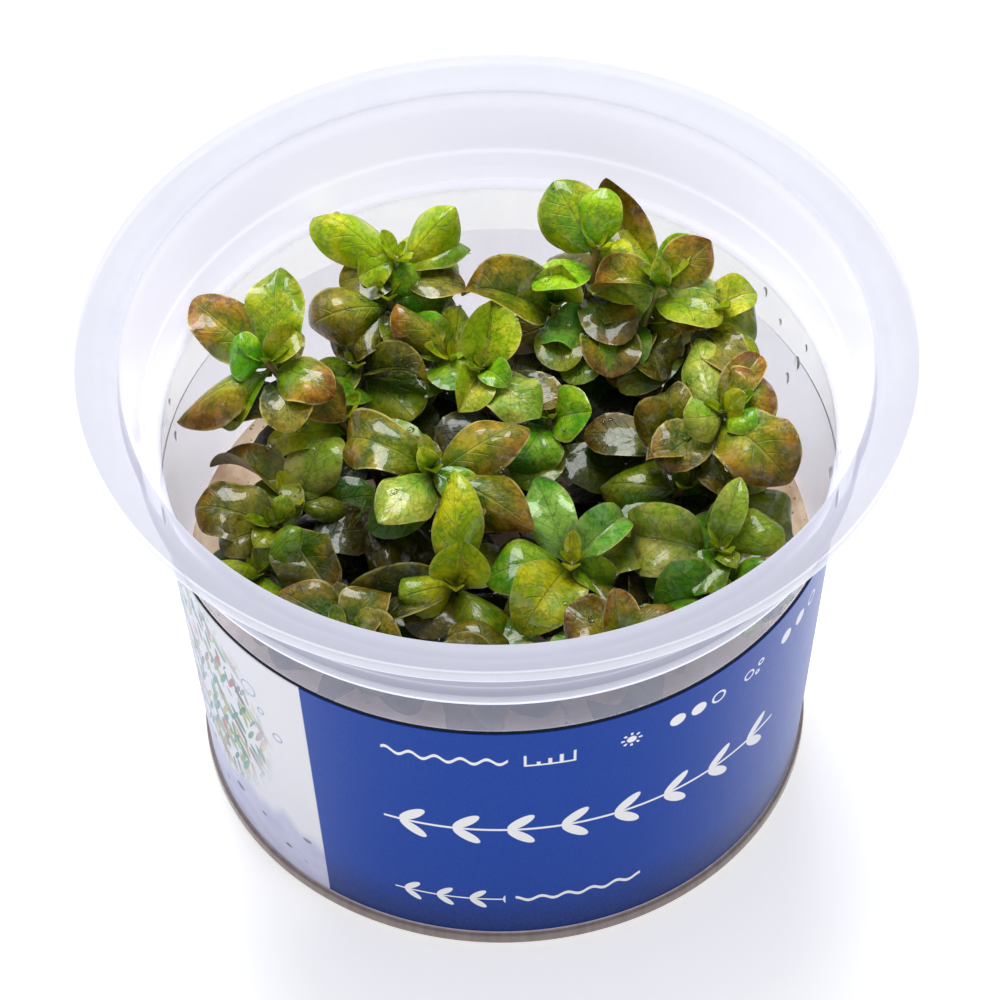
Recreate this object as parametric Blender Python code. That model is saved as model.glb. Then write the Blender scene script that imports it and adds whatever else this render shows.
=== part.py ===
"""A young Ludwigia repens, grown in jelly inside its open plastic cup.

The cup is one turned shell: a flat floor, a slightly conical wall, a collar that steps
outward above the wall, and a wide dished flange with a rounded lip. A printed sleeve wraps
the wall, a cake of growing medium fills the lower half, and a bush of short shoots stands
on it. Each shoot is one solid: a stem with all its leaves.

Origin: centre of the cup's underside. +Z is up, -Y is the side that the photograph shows.
Lengths below are millimetres; MM turns them into metres where a mesh is made.
"""
import math

import bmesh
import bpy
from mathutils import Matrix, Vector
from mathutils.bvhtree import BVHTree

MM = 0.001

# driving dimensions: the cup
HEIGHT = 66.3            # underside to the top of the flange
RIM_RADIUS = 50.0        # outer edge of the flange
LIP = 1.7                # height of the rounded lip
MOUTH_RADIUS = 44.3      # where the flange turns down into the collar
MOUTH_Z = 64.8
COLLAR_CREASE = (42.3, 56.6)   # radius, height of the faint ring half way down the collar
LEDGE_RADIUS = 41.4      # foot of the collar, inside
LEDGE_Z = 52.7
BEAD_RADIUS = 43.5       # the bright ring at the foot of the collar, outside
WALL_TOP_RADIUS = 41.15  # outside of the wall just under the bead
WALL_FOOT_RADIUS = 37.0  # outside of the wall at the floor
WALL_TOP_Z = 51.8
WALL = 0.85              # thickness of the plastic
FLOOR = 1.0
FOOT_ROUND = 1.0         # rounding between floor and wall

# driving dimensions: sleeve, medium, plant
SLEEVE_BOTTOM = 1.9
SLEEVE_TOP = 44.6
SLEEVE_THICK = 0.3
SLEEVE_AIR = 0.1         # between wall and sleeve
SLEEVE_SEAM = 1.6        # width of the seam at the back, degrees
MEDIUM_TOP = 29.5
GAP = 0.3                # air kept between neighbours
STEM_RADIUS = 0.75
LEAF_THICK = 0.4
HIGHEST_LEAF = 63.6      # everything stays below the rim, so a lid could close
SEGMENTS = 48            # round the cup
WELD = 1e-6              # metres; joins only points that a union left doubled

# the photograph's camera, for places that were read off the picture
FOCAL_PX = 5000.0        # in pixels of the 1000 x 1000 frame
CENTRE_PX = 500.0
DISTANCE = 587.4         # camera to the centre of the mouth
ELEVATION = math.radians(46.67)
TILT = math.radians(48.44)
ROLL = math.radians(-1.34)

# the shoots that the photograph shows, read by eye
# name, crown: pixel x, pixel y, height; then one row per leaf:
# tip: pixel x, pixel y, rise above the crown; width; how far the blade faces the camera
# (0 is level, 1 is square on, negative turns away); how strongly it arches
SHOOTS = [
    ("shoot_back_left", (396, 257, 53), [
        (316, 204, 4, 5.6, 0.6, 0.15), (455, 206, 5, 5.2, 0.5, 0.1), (470, 228, 2, 4.0, 0.0, 0.1),
        (456, 256, -1, 6.0, 0.6, 0.2), (358, 274, -1, 4.0, 0.7, 0.2), (424, 292, -4, 4.8, 0.5, 0.3)]),
    ("shoot_arch_left", (388, 294, 50), [
        (298, 330, -1, 6.6, 0.5, 0.5), (334, 362, -4, 5.6, 0.3, 0.3), (352, 346, -8, 4.6, 0.5, 0.2),
        (458, 290, -1, 3.8, 0.2, 0.2), (462, 258, -1, 4.2, 0.5, 0.2)]),
    ("shoot_left", (266, 360, 53), [
        (184, 305, 3, 5.8, 0.5, 0.1), (277, 271, 5, 6.0, 0.6, 0.1), (225, 352, 2, 5.0, 0.8, 0.3),
        (300, 328, 3, 3.4, 0.5, 0.3), (336, 394, 0, 5.6, 0.4, 0.3), (181, 424, -6, 5.2, 0.2, 0.4),
        (223, 431, -7, 3.0, 0.2, 0.2), (346, 421, -5, 5.0, 0.3, 0.3)]),
    ("shoot_mid_left", (356, 362, 46), [
        (414, 420, -1, 7.0, 0.5, 0.2), (432, 372, 1, 4.2, 0.3, 0.2), (330, 400, -3, 4.8, 0.3, 0.3)]),
    ("shoot_mid_back", (452, 358, 47), [
        (412, 313, 3, 4.6, 0.7, 0.1), (398, 322, 1, 4.8, 0.3, 0.3), (392, 385, -3, 4.8, 0.5, 0.3),
        (460, 300, 3, 4.8, 0.6, 0.1)]),
    ("shoot_middle", (483, 366, 50), [
        (493, 300, 5, 6.0, 0.9, 0.05), (458, 412, -1, 4.4, 0.6, 0.2), (508, 390, 0, 3.2, 0.5, 0.3),
        (541, 411, 0, 5.8, 0.6, 0.2)]),
    ("shoot_dome", (556, 300, 50), [
        (458, 284, 2, 6.4, 0.6, 0.45), (563, 264, 6, 5.4, 0.8, 0.1), (546, 268, -3, 3.2, 0.3, 0.2)]),
    ("shoot_drop", (612, 318, 49), [
        (534, 320, 0, 5.4, 0.5, 0.15), (610, 378, -2, 6.4, 0.6, 0.3), (566, 344, -2, 4.2, 0.5, 0.2)]),
    ("shoot_back", (598, 246, 56), [
        (553, 180, 5, 7.0, 0.8, 0.1), (553, 217, 1, 3.4, 0.6, 0.1), (634, 256, 0, 3.2, 0.6, 0.2),
        (600, 188, 6, 4.8, 0.4, 0.1)]),
    ("shoot_back_right", (662, 278, 54), [
        (594, 281, 1, 5.0, 0.1, 0.4), (606, 176, 7, 5.4, 0.6, -0.5), (712, 242, 4, 5.4, 0.7, 0.1),
        (727, 288, 0, 4.8, 0.4, 0.2), (602, 302, -3, 5.0, 0.6, 0.2), (690, 232, 3, 3.4, 0.4, 0.1)]),
    ("shoot_wall_right", (711, 306, 51), [
        (758, 278, 3, 4.8, 0.4, 0.1), (760, 325, -1, 6.4, 0.6, 0.1), (768, 362, -4, 4.2, 0.3, 0.3),
        (724, 254, 3, 2.4, 0.3, 0.1)]),
    ("shoot_shade_right", (650, 320, 48), [
        (712, 340, 2, 4.8, 0.4, 0.4), (690, 346, 0, 4.6, 0.6, 0.3), (660, 382, -2, 6.4, 0.5, 0.3),
        (628, 362, -2, 4.2, 0.4, 0.2)]),
    ("shoot_right", (727, 411, 50), [
        (697, 419, 3, 4.8, 0.7, 0.1), (768, 378, 3, 6.6, 0.5, 0.1), (754, 430, 1, 3.8, 0.5, 0.2),
        (800, 480, -3, 8.0, 0.5, 0.45), (692, 334, 1, 4.8, 0.5, 0.1), (760, 350, 3, 3.8, 0.1, 0.2)]),
    ("shoot_tan", (680, 434, 46), [
        (637, 448, 0, 6.8, 0.6, 0.4), (660, 384, 2, 5.4, 0.6, 0.3)]),
    ("shoot_centre", (430, 465, 50), [
        (331, 437, -1, 6.2, 0.4, 0.5), (379, 524, 0, 6.0, 0.5, 0.3), (528, 418, 3, 5.6, 0.6, 0.2),
        (533, 530, -3, 6.6, 0.5, 0.4), (478, 506, -3, 4.0, 0.3, 0.2)]),
    ("shoot_emerald", (551, 416, 47), [
        (593, 412, 3, 5.8, 0.6, 0.2), (514, 476, -2, 6.6, 0.5, 0.4), (552, 378, 4, 5.2, 0.1, 0.4)]),
    ("shoot_front", (456, 584, 45), [
        (400, 598, 1, 5.0, 0.5, 0.2), (464, 540, 5, 6.0, 0.9, 0.1), (443, 475, 6, 5.2, 0.7, 0.3),
        (492, 648, -2, 6.2, 0.5, 0.2), (338, 618, -4, 5.6, 0.5, 0.3)]),
    ("shoot_front_right", (572, 562, 45), [
        (481, 576, 0, 6.4, 0.5, 0.35), (537, 481, 3, 5.0, 0.5, 0.2), (631, 509, 1, 4.4, 0.4, 0.2),
        (526, 624, 1, 7.2, 0.7, 0.2), (507, 632, -4, 4.8, 0.4, 0.2), (624, 626, -2, 5.0, 0.4, 0.2),
        (604, 594, -3, 4.0, 0.4, 0.2)]),
    ("shoot_pale", (722, 548, 44), [
        (618, 529, 1, 7.4, 0.7, 0.3), (782, 516, 2, 5.6, 0.6, 0.15), (696, 597, -1, 4.6, 0.5, 0.2),
        (790, 540, -3, 3.6, 0.3, 0.2), (742, 481, 5, 3.4, 0.6, 0.2)]),
    ("shoot_cupped", (736, 494, 44), [
        (700, 444, 3, 4.8, 0.5, 0.5), (762, 444, 4, 5.0, 0.3, 0.4), (798, 518, -1, 6.0, 0.5, 0.3),
        (714, 542, -2, 2.8, 0.3, 0.2), (800, 528, -4, 3.0, 0.2, 0.2)]),
    ("shoot_broad", (690, 484, 44), [
        (595, 472, 1, 8.0, 0.6, 0.35)]),
    ("shoot_slope_left", (290, 500, 43), [
        (328, 423, 5, 6.0, 0.8, 0.3), (320, 455, 3, 3.6, 0.5, 0.2), (212, 453, 1, 4.2, -0.1, 0.2),
        (350, 508, -1, 2.6, 0.3, 0.2)]),
    ("shoot_bright_left", (340, 420, 46), [
        (249, 465, -2, 4.6, 0.5, 0.6), (300, 400, 1, 3.8, 0.4, 0.2)]),
    ("shoot_front_left", (272, 524, 45), [
        (192, 501, 1, 6.8, 0.5, 0.15), (333, 596, -2, 6.6, 0.6, 0.25), (219, 558, -2, 4.6, 0.5, 0.2)]),
    ("shoot_dark", (412, 520, 41), [
        (360, 562, -1, 6.0, 0.4, 0.3), (350, 502, 1, 4.0, 0.3, 0.2), (420, 572, -1, 4.2, 0.4, 0.2)]),
    ("shoot_low_right", (676, 562, 40), [
        (640, 620, -1, 6.0, 0.4, 0.2), (640, 562, 0, 4.0, 0.4, 0.2)]),
]

# the shoots that stand behind the near rim, out of the photograph's sight: name, crown in mm
RIM_SHOOTS = [
    ("shoot_rim_left", (-29, -14, 43)),
    ("shoot_rim_front_left", (-19, -26, 45)),
    ("shoot_rim_front", (-2, -32, 43)),
    ("shoot_rim_front_right", (14, -29, 45)),
    ("shoot_rim_right", (27, -19, 42)),
]
# their leaves stand in crossed pairs: turn, reach, rise above the crown, width
CROSSED_PAIRS = ((0, 9.5, 0.5, 6.4), (90, 8.0, 2.0, 5.4), (45, 5.5, 3.5, 3.8))
GOLDEN_ANGLE = 137.5     # degrees from one shoot's pairs to the next one's

FOOT_INSETS = (0.72, 0.6, 0.84, 0.5)   # share of the crown's distance from the axis

# how a leaf may give way when its place is taken: turn in degrees, lift in mm, size
YIELDS = sorted(
    ((turn, lift, size) for turn in (0, 6, -6, 12, -12, 20, -20, 30, -30)
     for lift in (0, 1, -1, 2, -2, 3.5, -3.5) for size in (1, 0.88, 0.75, 0.62)),
    key=lambda y: (round(abs(y[0]) / 6 + abs(y[1]) + (1 - y[2]) * 14, 6), y))


# helpers
def seen_at(pixel_x, pixel_y, height):
    """The point at this height that the photograph shows at this pixel."""
    eye = Vector((0, -DISTANCE * math.cos(ELEVATION), HEIGHT + DISTANCE * math.sin(ELEVATION)))
    back = Vector((0, -math.cos(TILT), math.sin(TILT)))
    right, up = Vector((1, 0, 0)), back.cross(Vector((1, 0, 0)))
    right, up = (right * math.cos(ROLL) + up * math.sin(ROLL),
                 up * math.cos(ROLL) - right * math.sin(ROLL))
    ray = right * (pixel_x - CENTRE_PX) + up * (CENTRE_PX - pixel_y) - back * FOCAL_PX
    return eye + ray * ((height - eye.z) / ray.z)


def wall_outside(z):
    """Outer radius of the conical wall."""
    return WALL_FOOT_RADIUS + (WALL_TOP_RADIUS - WALL_FOOT_RADIUS) * z / WALL_TOP_Z


def room_at(z):
    """Inner radius of the cup at a height, wall and collar."""
    if z < LEDGE_Z:
        return wall_outside(z) - WALL
    crease_r, crease_z = COLLAR_CREASE
    if z < crease_z:
        return LEDGE_RADIUS + (crease_r - LEDGE_RADIUS) * (z - LEDGE_Z) / (crease_z - LEDGE_Z)
    return crease_r + (MOUTH_RADIUS - crease_r) * (z - crease_z) / (MOUTH_Z - crease_z)


def material(name, colour, roughness):
    mat = bpy.data.materials.new(name)
    mat.use_nodes = True
    shader = mat.node_tree.nodes["Principled BSDF"]
    shader.inputs["Base Color"].default_value = (*colour, 1)
    shader.inputs["Roughness"].default_value = roughness
    shader.inputs["Metallic"].default_value = 0
    return mat


def add_object(name, points, faces, mat, parent, origin=(0, 0, 0)):
    """A mesh object from points in mm, its own origin moved to `origin`."""
    origin = Vector(origin)
    mesh = bpy.data.meshes.new(name)
    mesh.from_pydata([(Vector(p) - origin) * MM for p in points], [], faces)
    bm = bmesh.new()
    bm.from_mesh(mesh)
    bmesh.ops.recalc_face_normals(bm, faces=bm.faces)
    bm.to_mesh(mesh)
    bm.free()
    mesh.materials.append(mat)
    obj = bpy.data.objects.new(name, mesh)
    bpy.context.collection.objects.link(obj)
    obj.location = origin * MM
    obj.parent = parent
    return obj


def turned(name, profile, mat, parent):
    """Turn a profile of (radius, height) about Z; points on the axis become poles."""
    points, rings = [], []
    for radius, z in profile:
        if radius == 0:
            rings.append([len(points)] * SEGMENTS)
            points.append((0, 0, z))
            continue
        rings.append([len(points) + k for k in range(SEGMENTS)])
        for k in range(SEGMENTS):
            angle = math.tau * k / SEGMENTS
            points.append((radius * math.cos(angle), radius * math.sin(angle), z))
    faces = []
    for low, high in zip(rings, rings[1:]):
        for k in range(SEGMENTS):
            corners = [low[k], low[k - 1], high[k - 1], high[k]]
            faces.append(list(dict.fromkeys(corners)))
    obj = add_object(name, points, faces, mat, parent)
    obj.data.shade_smooth()
    obj.data.set_sharp_from_angle(angle=math.radians(30))
    return obj


# cup, sleeve, medium
def cup_profile():
    """Up the outside from the centre of the underside, over the lip, down the inside."""
    foot = wall_outside(0)
    outside = [(0, 0), (foot - FOOT_ROUND, 0), (foot - 0.3, 0.3), (wall_outside(FOOT_ROUND), FOOT_ROUND),
               (WALL_TOP_RADIUS, WALL_TOP_Z), (BEAD_RADIUS - 0.25, LEDGE_Z - 0.2),
               (BEAD_RADIUS, LEDGE_Z + 0.4), (BEAD_RADIUS - 0.25, LEDGE_Z + 1.0),
               (MOUTH_RADIUS + 0.9, MOUTH_Z - 1.5), (MOUTH_RADIUS + 1.7, MOUTH_Z - 0.9),
               (RIM_RADIUS - 0.9, HEIGHT - LIP - 0.1), (RIM_RADIUS - 0.2, HEIGHT - LIP + 0.1)]
    lip = [(RIM_RADIUS, HEIGHT - 0.8), (RIM_RADIUS - 0.35, HEIGHT - 0.15), (RIM_RADIUS - 1.0, HEIGHT)]
    crease_r, crease_z = COLLAR_CREASE
    floor_r = wall_outside(FLOOR) - WALL
    inside = [(MOUTH_RADIUS + 0.5, MOUTH_Z + 0.15), (MOUTH_RADIUS, MOUTH_Z), (crease_r, crease_z),
              (LEDGE_RADIUS, LEDGE_Z), (wall_outside(LEDGE_Z - 0.5) - WALL, LEDGE_Z - 0.5),
              (wall_outside(FLOOR + FOOT_ROUND) - WALL, FLOOR + FOOT_ROUND),
              (floor_r - FOOT_ROUND, FLOOR), (0, FLOOR)]
    return outside + lip + inside


def make_sleeve(mat, parent):
    """The printed sleeve: a thin cone with a narrow seam at the back."""
    half_seam = math.radians(SLEEVE_SEAM / 2)
    start, end = math.pi / 2 + half_seam, math.pi / 2 + math.tau - half_seam
    step = math.tau / SEGMENTS
    first = math.ceil(start / step)
    angles = [start] + [k * step for k in range(first, math.floor(end / step) + 1)] + [end]
    points, faces = [], []
    for angle in angles:
        for z in (SLEEVE_BOTTOM, SLEEVE_TOP):
            for extra in (SLEEVE_AIR, SLEEVE_AIR + SLEEVE_THICK):
                radius = wall_outside(z) + extra
                points.append((radius * math.cos(angle), radius * math.sin(angle), z))
    loop = (0, 1, 3, 2)          # inner low, outer low, outer high, inner high
    for k in range(len(angles) - 1):
        for a, b in zip(loop, loop[1:] + loop[:1]):
            faces.append((4 * k + a, 4 * k + b, 4 * k + 4 + b, 4 * k + 4 + a))
    faces += [loop, tuple(4 * (len(angles) - 1) + c for c in loop)]
    return add_object("sleeve", points, faces, mat, parent)


def medium_profile():
    low = FLOOR + GAP
    return [(0, low), (wall_outside(low) - WALL - GAP - FOOT_ROUND, low),
            (wall_outside(low + FOOT_ROUND) - WALL - GAP, low + FOOT_ROUND),
            (wall_outside(MEDIUM_TOP) - WALL - GAP, MEDIUM_TOP), (0, MEDIUM_TOP)]


# one leaf, one stem
TO_CAMERA = Vector((0, -math.cos(ELEVATION), math.sin(ELEVATION)))
STATIONS = ((0, 0.16), (0.34, 0.92), (0.74, 0.94))   # along the leaf, share of width
PETIOLE_HALF_WIDTH = 0.45
FULLNESS = 1.1          # few corners make a leaf look lean, so it is drawn a little wider


def leaf_solid(base, tip, width, face, arch, grow=0.0):
    """A closed leaf blade: an arched plate with a narrow foot and a pointed tip.

    `grow` fattens it on all sides, for the test that keeps leaves apart.
    """
    chord = tip - base
    along = chord.normalized()
    normal = Vector((0, 0, 1)) * (1 - face) + TO_CAMERA * face
    normal = (normal - along * normal.dot(along)).normalized()
    side = along.cross(normal)
    control = (base + tip) / 2 + normal * arch * chord.length
    thick = normal * (LEAF_THICK / 2 + grow)
    outline = []
    for u, share in STATIONS:
        middle = base * (1 - u) ** 2 + control * 2 * u * (1 - u) + tip * u ** 2
        half = side * (max(PETIOLE_HALF_WIDTH, share * width * FULLNESS / 2) + grow)
        outline += [middle - half, middle + half]
    outline.append(tip + along * grow)
    count = len(outline)
    points = [p + thick for p in outline] + [p - thick for p in outline]
    rim = [0, 2, 4, 6, 5, 3, 1]
    faces = [(0, 1, 3, 2), (2, 3, 5, 4), (4, 5, 6)]
    faces += [tuple(count + v for v in reversed(f)) for f in faces]
    faces += [(b, a, count + a, count + b) for a, b in zip(rim, rim[1:] + rim[:1])]
    return points, faces


def stem_path(foot, crown, steps=3):
    """A stem leaves the medium upright and leans over toward its crown."""
    control = Vector((foot.x, foot.y, (foot.z + crown.z) / 2))
    return [foot * (1 - u) ** 2 + control * 2 * u * (1 - u) + crown * u ** 2
            for u in (k / steps for k in range(steps + 1))]


def on_stem(path, down):
    """The point on the stem's axis a length `down` below its crown."""
    for high, low in zip(path[::-1], path[-2::-1]):
        step = (high - low).length
        if down <= step:
            return high.lerp(low, down / step)
        down -= step
    return path[0]


def beside_stem(path, down, tip):
    """Where a leaf that ends at `tip` leaves the stem: just off its axis."""
    node = on_stem(path, down)
    outward = Vector((tip.x - node.x, tip.y - node.y, 0))
    return node + outward.normalized() * 0.45 * STEM_RADIUS


def stem_solid(path, sides=5, grow=0.0):
    points, faces = [], []
    for k, centre in enumerate(path):
        radius = (STEM_RADIUS if k < len(path) - 1 else 0.6 * STEM_RADIUS) + grow
        for s in range(sides):
            angle = math.tau * s / sides
            points.append(centre + Vector((math.cos(angle), math.sin(angle), 0)) * radius)
    for k in range(len(path) - 1):
        for s in range(sides):
            t = (s + 1) % sides
            faces.append((k * sides + s, k * sides + t, (k + 1) * sides + t, (k + 1) * sides + s))
    faces += [tuple(reversed(range(sides))), tuple(range(len(points) - sides, len(points)))]
    return points, faces


# finding room for every leaf
def tree_of(solids):
    """One search tree over several solids."""
    points, faces = [], []
    for more_points, more_faces in solids:
        start = len(points)
        points += more_points
        faces += [tuple(start + v for v in f) for f in more_faces]
    return BVHTree.FromPolygons(points, faces)


def blade_of(solid):
    """The outer part of a leaf, without the stalk that meets its own stem."""
    points, faces = solid
    foot = {0, 1, len(points) // 2, len(points) // 2 + 1}
    return points, [f for f in faces if not foot & set(f)]


class Crowd:
    """All solids placed so far: whole shoots, and their blades alone."""

    def __init__(self):
        self.shoots, self.blades = {}, {}

    def add(self, key, solid, is_leaf=True):
        self.shoots.setdefault(key, []).append(solid)
        if is_leaf:
            self.blades.setdefault(key, []).append(blade_of(solid))

    def hits(self, solid, own):
        """Whether a leaf of shoot `own` meets another shoot, or a blade of its own."""
        others = [s for key, solids in self.shoots.items() if key != own for s in solids]
        return bool(tree_of([solid]).overlap(tree_of(others))
                    or tree_of([blade_of(solid)]).overlap(tree_of(self.blades.get(own, []))))


def fits(solid, crowd, own):
    for p in solid[0]:
        if math.hypot(p.x, p.y) > room_at(p.z) - GAP or not MEDIUM_TOP + GAP < p.z < HIGHEST_LEAF:
            return False
    return not crowd.hits(solid, own)


def settle(base, tip, width, face, arch, crowd, name):
    """The first way to give way that finds room, or None."""
    for turn, lift, size in YIELDS:
        reach = Matrix.Rotation(math.radians(turn), 3, "Z") @ (tip - base) * size
        new_tip = base + reach + Vector((0, 0, lift))
        if fits(leaf_solid(base, new_tip, width * size, face, arch, grow=GAP * 0.6), crowd, name):
            return base, new_tip, width * size, face, arch
    return None


def settle_stem(crown, crowd, name):
    """The foot stands nearer the middle than the crown, turned aside where stems would cross."""
    for inset in FOOT_INSETS:
        for turn in (0, 12, -12, 24, -24, 36, -36, 50, -50):
            foot = Matrix.Rotation(math.radians(turn), 3, "Z") @ (crown * inset)
            path = stem_path(Vector((foot.x, foot.y, MEDIUM_TOP + GAP)), crown)
            if not crowd.hits(stem_solid(path, grow=GAP), name):
                return path
    raise ValueError(f"{name} stands too close to another stem")


def add_leaf(plan, crowd, name, tip, width, face, arch):
    """Grow one leaf where it finds room; a longer leaf is older and starts lower on the stem."""
    path = plan[name]["path"]
    drop = min(2.0, max(0.3, 0.25 * ((tip - path[-1]).length - 4)))
    base = beside_stem(path, drop, tip)
    found = settle(base, tip, width, face, arch, crowd, name)
    if found:
        plan[name]["leaves"].append(found)
        crowd.add(name, leaf_solid(*found))
    else:
        print("no room for a leaf of", name, tuple(round(c, 1) for c in tip))


def arrange():
    """Stems first, then the leaves that the photograph shows, then those behind the rim."""
    crowd, plan = Crowd(), {}
    crowns = [(name, seen_at(*crown)) for name, crown, _ in SHOOTS]
    for name, crown in crowns + [(name, Vector(crown)) for name, crown in RIM_SHOOTS]:
        path = settle_stem(crown, crowd, name)
        plan[name] = {"path": path, "leaves": []}
        crowd.add(name, stem_solid(path), is_leaf=False)
    for name, (_, _, z), leaves in SHOOTS:
        for px, py, rise, width, face, arch in leaves:
            add_leaf(plan, crowd, name, seen_at(px, py, z + rise), width, face, arch)
    for number, (name, _) in enumerate(RIM_SHOOTS):
        crown = plan[name]["path"][-1]
        for turn, reach, rise, width in CROSSED_PAIRS:
            for half_turn in (0, 180):
                angle = math.radians(GOLDEN_ANGLE * number + turn + half_turn)
                tip = crown + Vector((math.cos(angle) * reach, math.sin(angle) * reach, rise))
                add_leaf(plan, crowd, name, tip, width, 0.2, 0.2)
    return plan


def keep_outer_shell(bm):
    """Crossing leaves can close a small pocket; only the outer surface stays."""
    left, shells = set(bm.faces), []
    while left:
        shell, front = [], [left.pop()]
        while front:
            face = front.pop()
            shell.append(face)
            for edge in face.edges:
                for other in edge.link_faces:
                    if other in left:
                        left.remove(other)
                        front.append(other)
        shells.append(shell)
    shells.sort(key=len)
    bmesh.ops.delete(bm, geom=[f for shell in shells[:-1] for f in shell], context="FACES")


def fused(name, solids, mat, parent, origin):
    """Union of closed solids into one body."""
    parts = [add_object(f"{name}_piece", *solid, mat, None, origin) for solid in solids]
    body = parts[0]
    for other in parts[1:]:
        cut = body.modifiers.new("union", "BOOLEAN")
        cut.operation, cut.object = "UNION", other
    evaluated = body.evaluated_get(bpy.context.evaluated_depsgraph_get())
    mesh = bpy.data.meshes.new_from_object(evaluated)
    for part in parts:
        bpy.data.objects.remove(part, do_unlink=True)
    bm = bmesh.new()
    bm.from_mesh(mesh)
    bmesh.ops.remove_doubles(bm, verts=bm.verts, dist=WELD)
    bmesh.ops.dissolve_degenerate(bm, edges=bm.edges, dist=WELD)
    bmesh.ops.dissolve_limit(bm, angle_limit=math.radians(0.5), verts=bm.verts, edges=bm.edges)
    bmesh.ops.triangulate(bm, faces=bm.faces)
    keep_outer_shell(bm)
    bm.to_mesh(mesh)
    bm.free()
    obj = bpy.data.objects.new(name, mesh)
    bpy.context.collection.objects.link(obj)
    obj.location, obj.parent = Vector(origin) * MM, parent
    return obj


# build
def main():
    for old in list(bpy.data.objects):
        bpy.data.objects.remove(old, do_unlink=True)
    part = bpy.data.objects.new("potted_plant", None)
    bpy.context.collection.objects.link(part)

    plastic = material("clear_plastic", (0.80, 0.80, 0.86), 0.3)
    paper = material("printed_sleeve", (0.02, 0.06, 0.30), 0.4)
    jelly = material("growing_medium", (0.75, 0.55, 0.38), 0.3)
    leaf = material("bronze_leaf", (0.14, 0.13, 0.02), 0.35)

    turned("cup", cup_profile(), plastic, part)
    make_sleeve(paper, part)
    turned("medium", medium_profile(), jelly, part)

    for name, shoot in arrange().items():
        solids = [stem_solid(shoot["path"])] + [leaf_solid(*leaf_shape) for leaf_shape in shoot["leaves"]]
        fused(name, solids, leaf, part, shoot["path"][0])


main()
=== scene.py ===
# %% [markdown]
# # A young Ludwigia repens in its growing cup
# The real thing is a bush of short, glossy shoots that stands in a cake of growing gel, inside an open
# cup of translucent plastic with a printed sleeve. Its solids are already settled and packed. This lesson
# keeps every solid's place and gives it the fine form and finish of the real piece.

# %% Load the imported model
import math

import bmesh
import bpy
import numpy as np
from mathutils import Matrix, Vector
from mathutils.bvhtree import BVHTree
from mathutils.kdtree import KDTree


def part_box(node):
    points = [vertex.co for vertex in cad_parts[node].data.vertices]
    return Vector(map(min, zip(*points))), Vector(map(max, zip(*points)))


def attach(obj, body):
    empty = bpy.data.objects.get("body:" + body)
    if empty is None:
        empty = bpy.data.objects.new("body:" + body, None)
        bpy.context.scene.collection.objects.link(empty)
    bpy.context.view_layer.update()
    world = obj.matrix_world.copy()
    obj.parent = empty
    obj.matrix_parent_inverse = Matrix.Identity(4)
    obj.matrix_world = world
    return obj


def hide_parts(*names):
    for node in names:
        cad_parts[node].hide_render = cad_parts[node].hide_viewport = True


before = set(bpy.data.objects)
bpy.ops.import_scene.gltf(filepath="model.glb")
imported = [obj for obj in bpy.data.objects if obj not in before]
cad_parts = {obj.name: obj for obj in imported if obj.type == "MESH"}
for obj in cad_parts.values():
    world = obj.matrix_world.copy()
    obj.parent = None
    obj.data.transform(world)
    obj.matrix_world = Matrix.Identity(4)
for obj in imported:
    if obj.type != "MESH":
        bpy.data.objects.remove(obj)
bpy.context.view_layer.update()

MM = 0.001               # every length below is in millimetres
print("the frame holds", len(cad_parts), "solids")

# %% [markdown]
# ## Sizes
# Sizes that the solids already have are read from them, so that nothing here can drift away from them.
# The rest are the cup's own corners, which a box doesn't tell, and they are named once.

# %% The sizes of cup, sleeve and gel
CUP_BOX = [np.array(corner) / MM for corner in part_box("cup")]
SLEEVE_BOX = [np.array(corner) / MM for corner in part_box("sleeve")]
GEL_BOX = [np.array(corner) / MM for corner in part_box("medium")]

HEIGHT, RIM_RADIUS = CUP_BOX[1][2], CUP_BOX[1][0]
SLEEVE_BOTTOM, SLEEVE_TOP = SLEEVE_BOX[0][2], SLEEVE_BOX[1][2]
GEL_TOP = GEL_BOX[1][2]
MOUTH_RADIUS, MOUTH_Z = 44.3, 64.8
CREASE_RADIUS, CREASE_Z = 42.3, 56.6     # the faint ring half way down the collar
LEDGE_RADIUS, LEDGE_Z = 41.4, 52.7
BEAD_RADIUS = 43.5
WALL_TOP_RADIUS, WALL_TOP_Z = 41.15, 51.8
WALL_FOOT_RADIUS = 37.0
WALL, FLOOR = 0.85, 1.0
SLEEVE_AIR, SLEEVE_THICK = 0.1, 0.3
GAP = 0.3
print("cup", round(RIM_RADIUS * 2), "mm wide,", round(HEIGHT, 1), "mm high")


def wall_outside(z):
    """Outer radius of the conical wall."""
    return WALL_FOOT_RADIUS + (WALL_TOP_RADIUS - WALL_FOOT_RADIUS) * z / WALL_TOP_Z


# %% [markdown]
# ## Shader graphs as expressions
# A finish is easier to read as a formula than as a pile of nodes. One small class wraps a socket, so that
# `1 - mask * 0.5` adds its own Math nodes, and one method adds every other kind of node.

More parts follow.
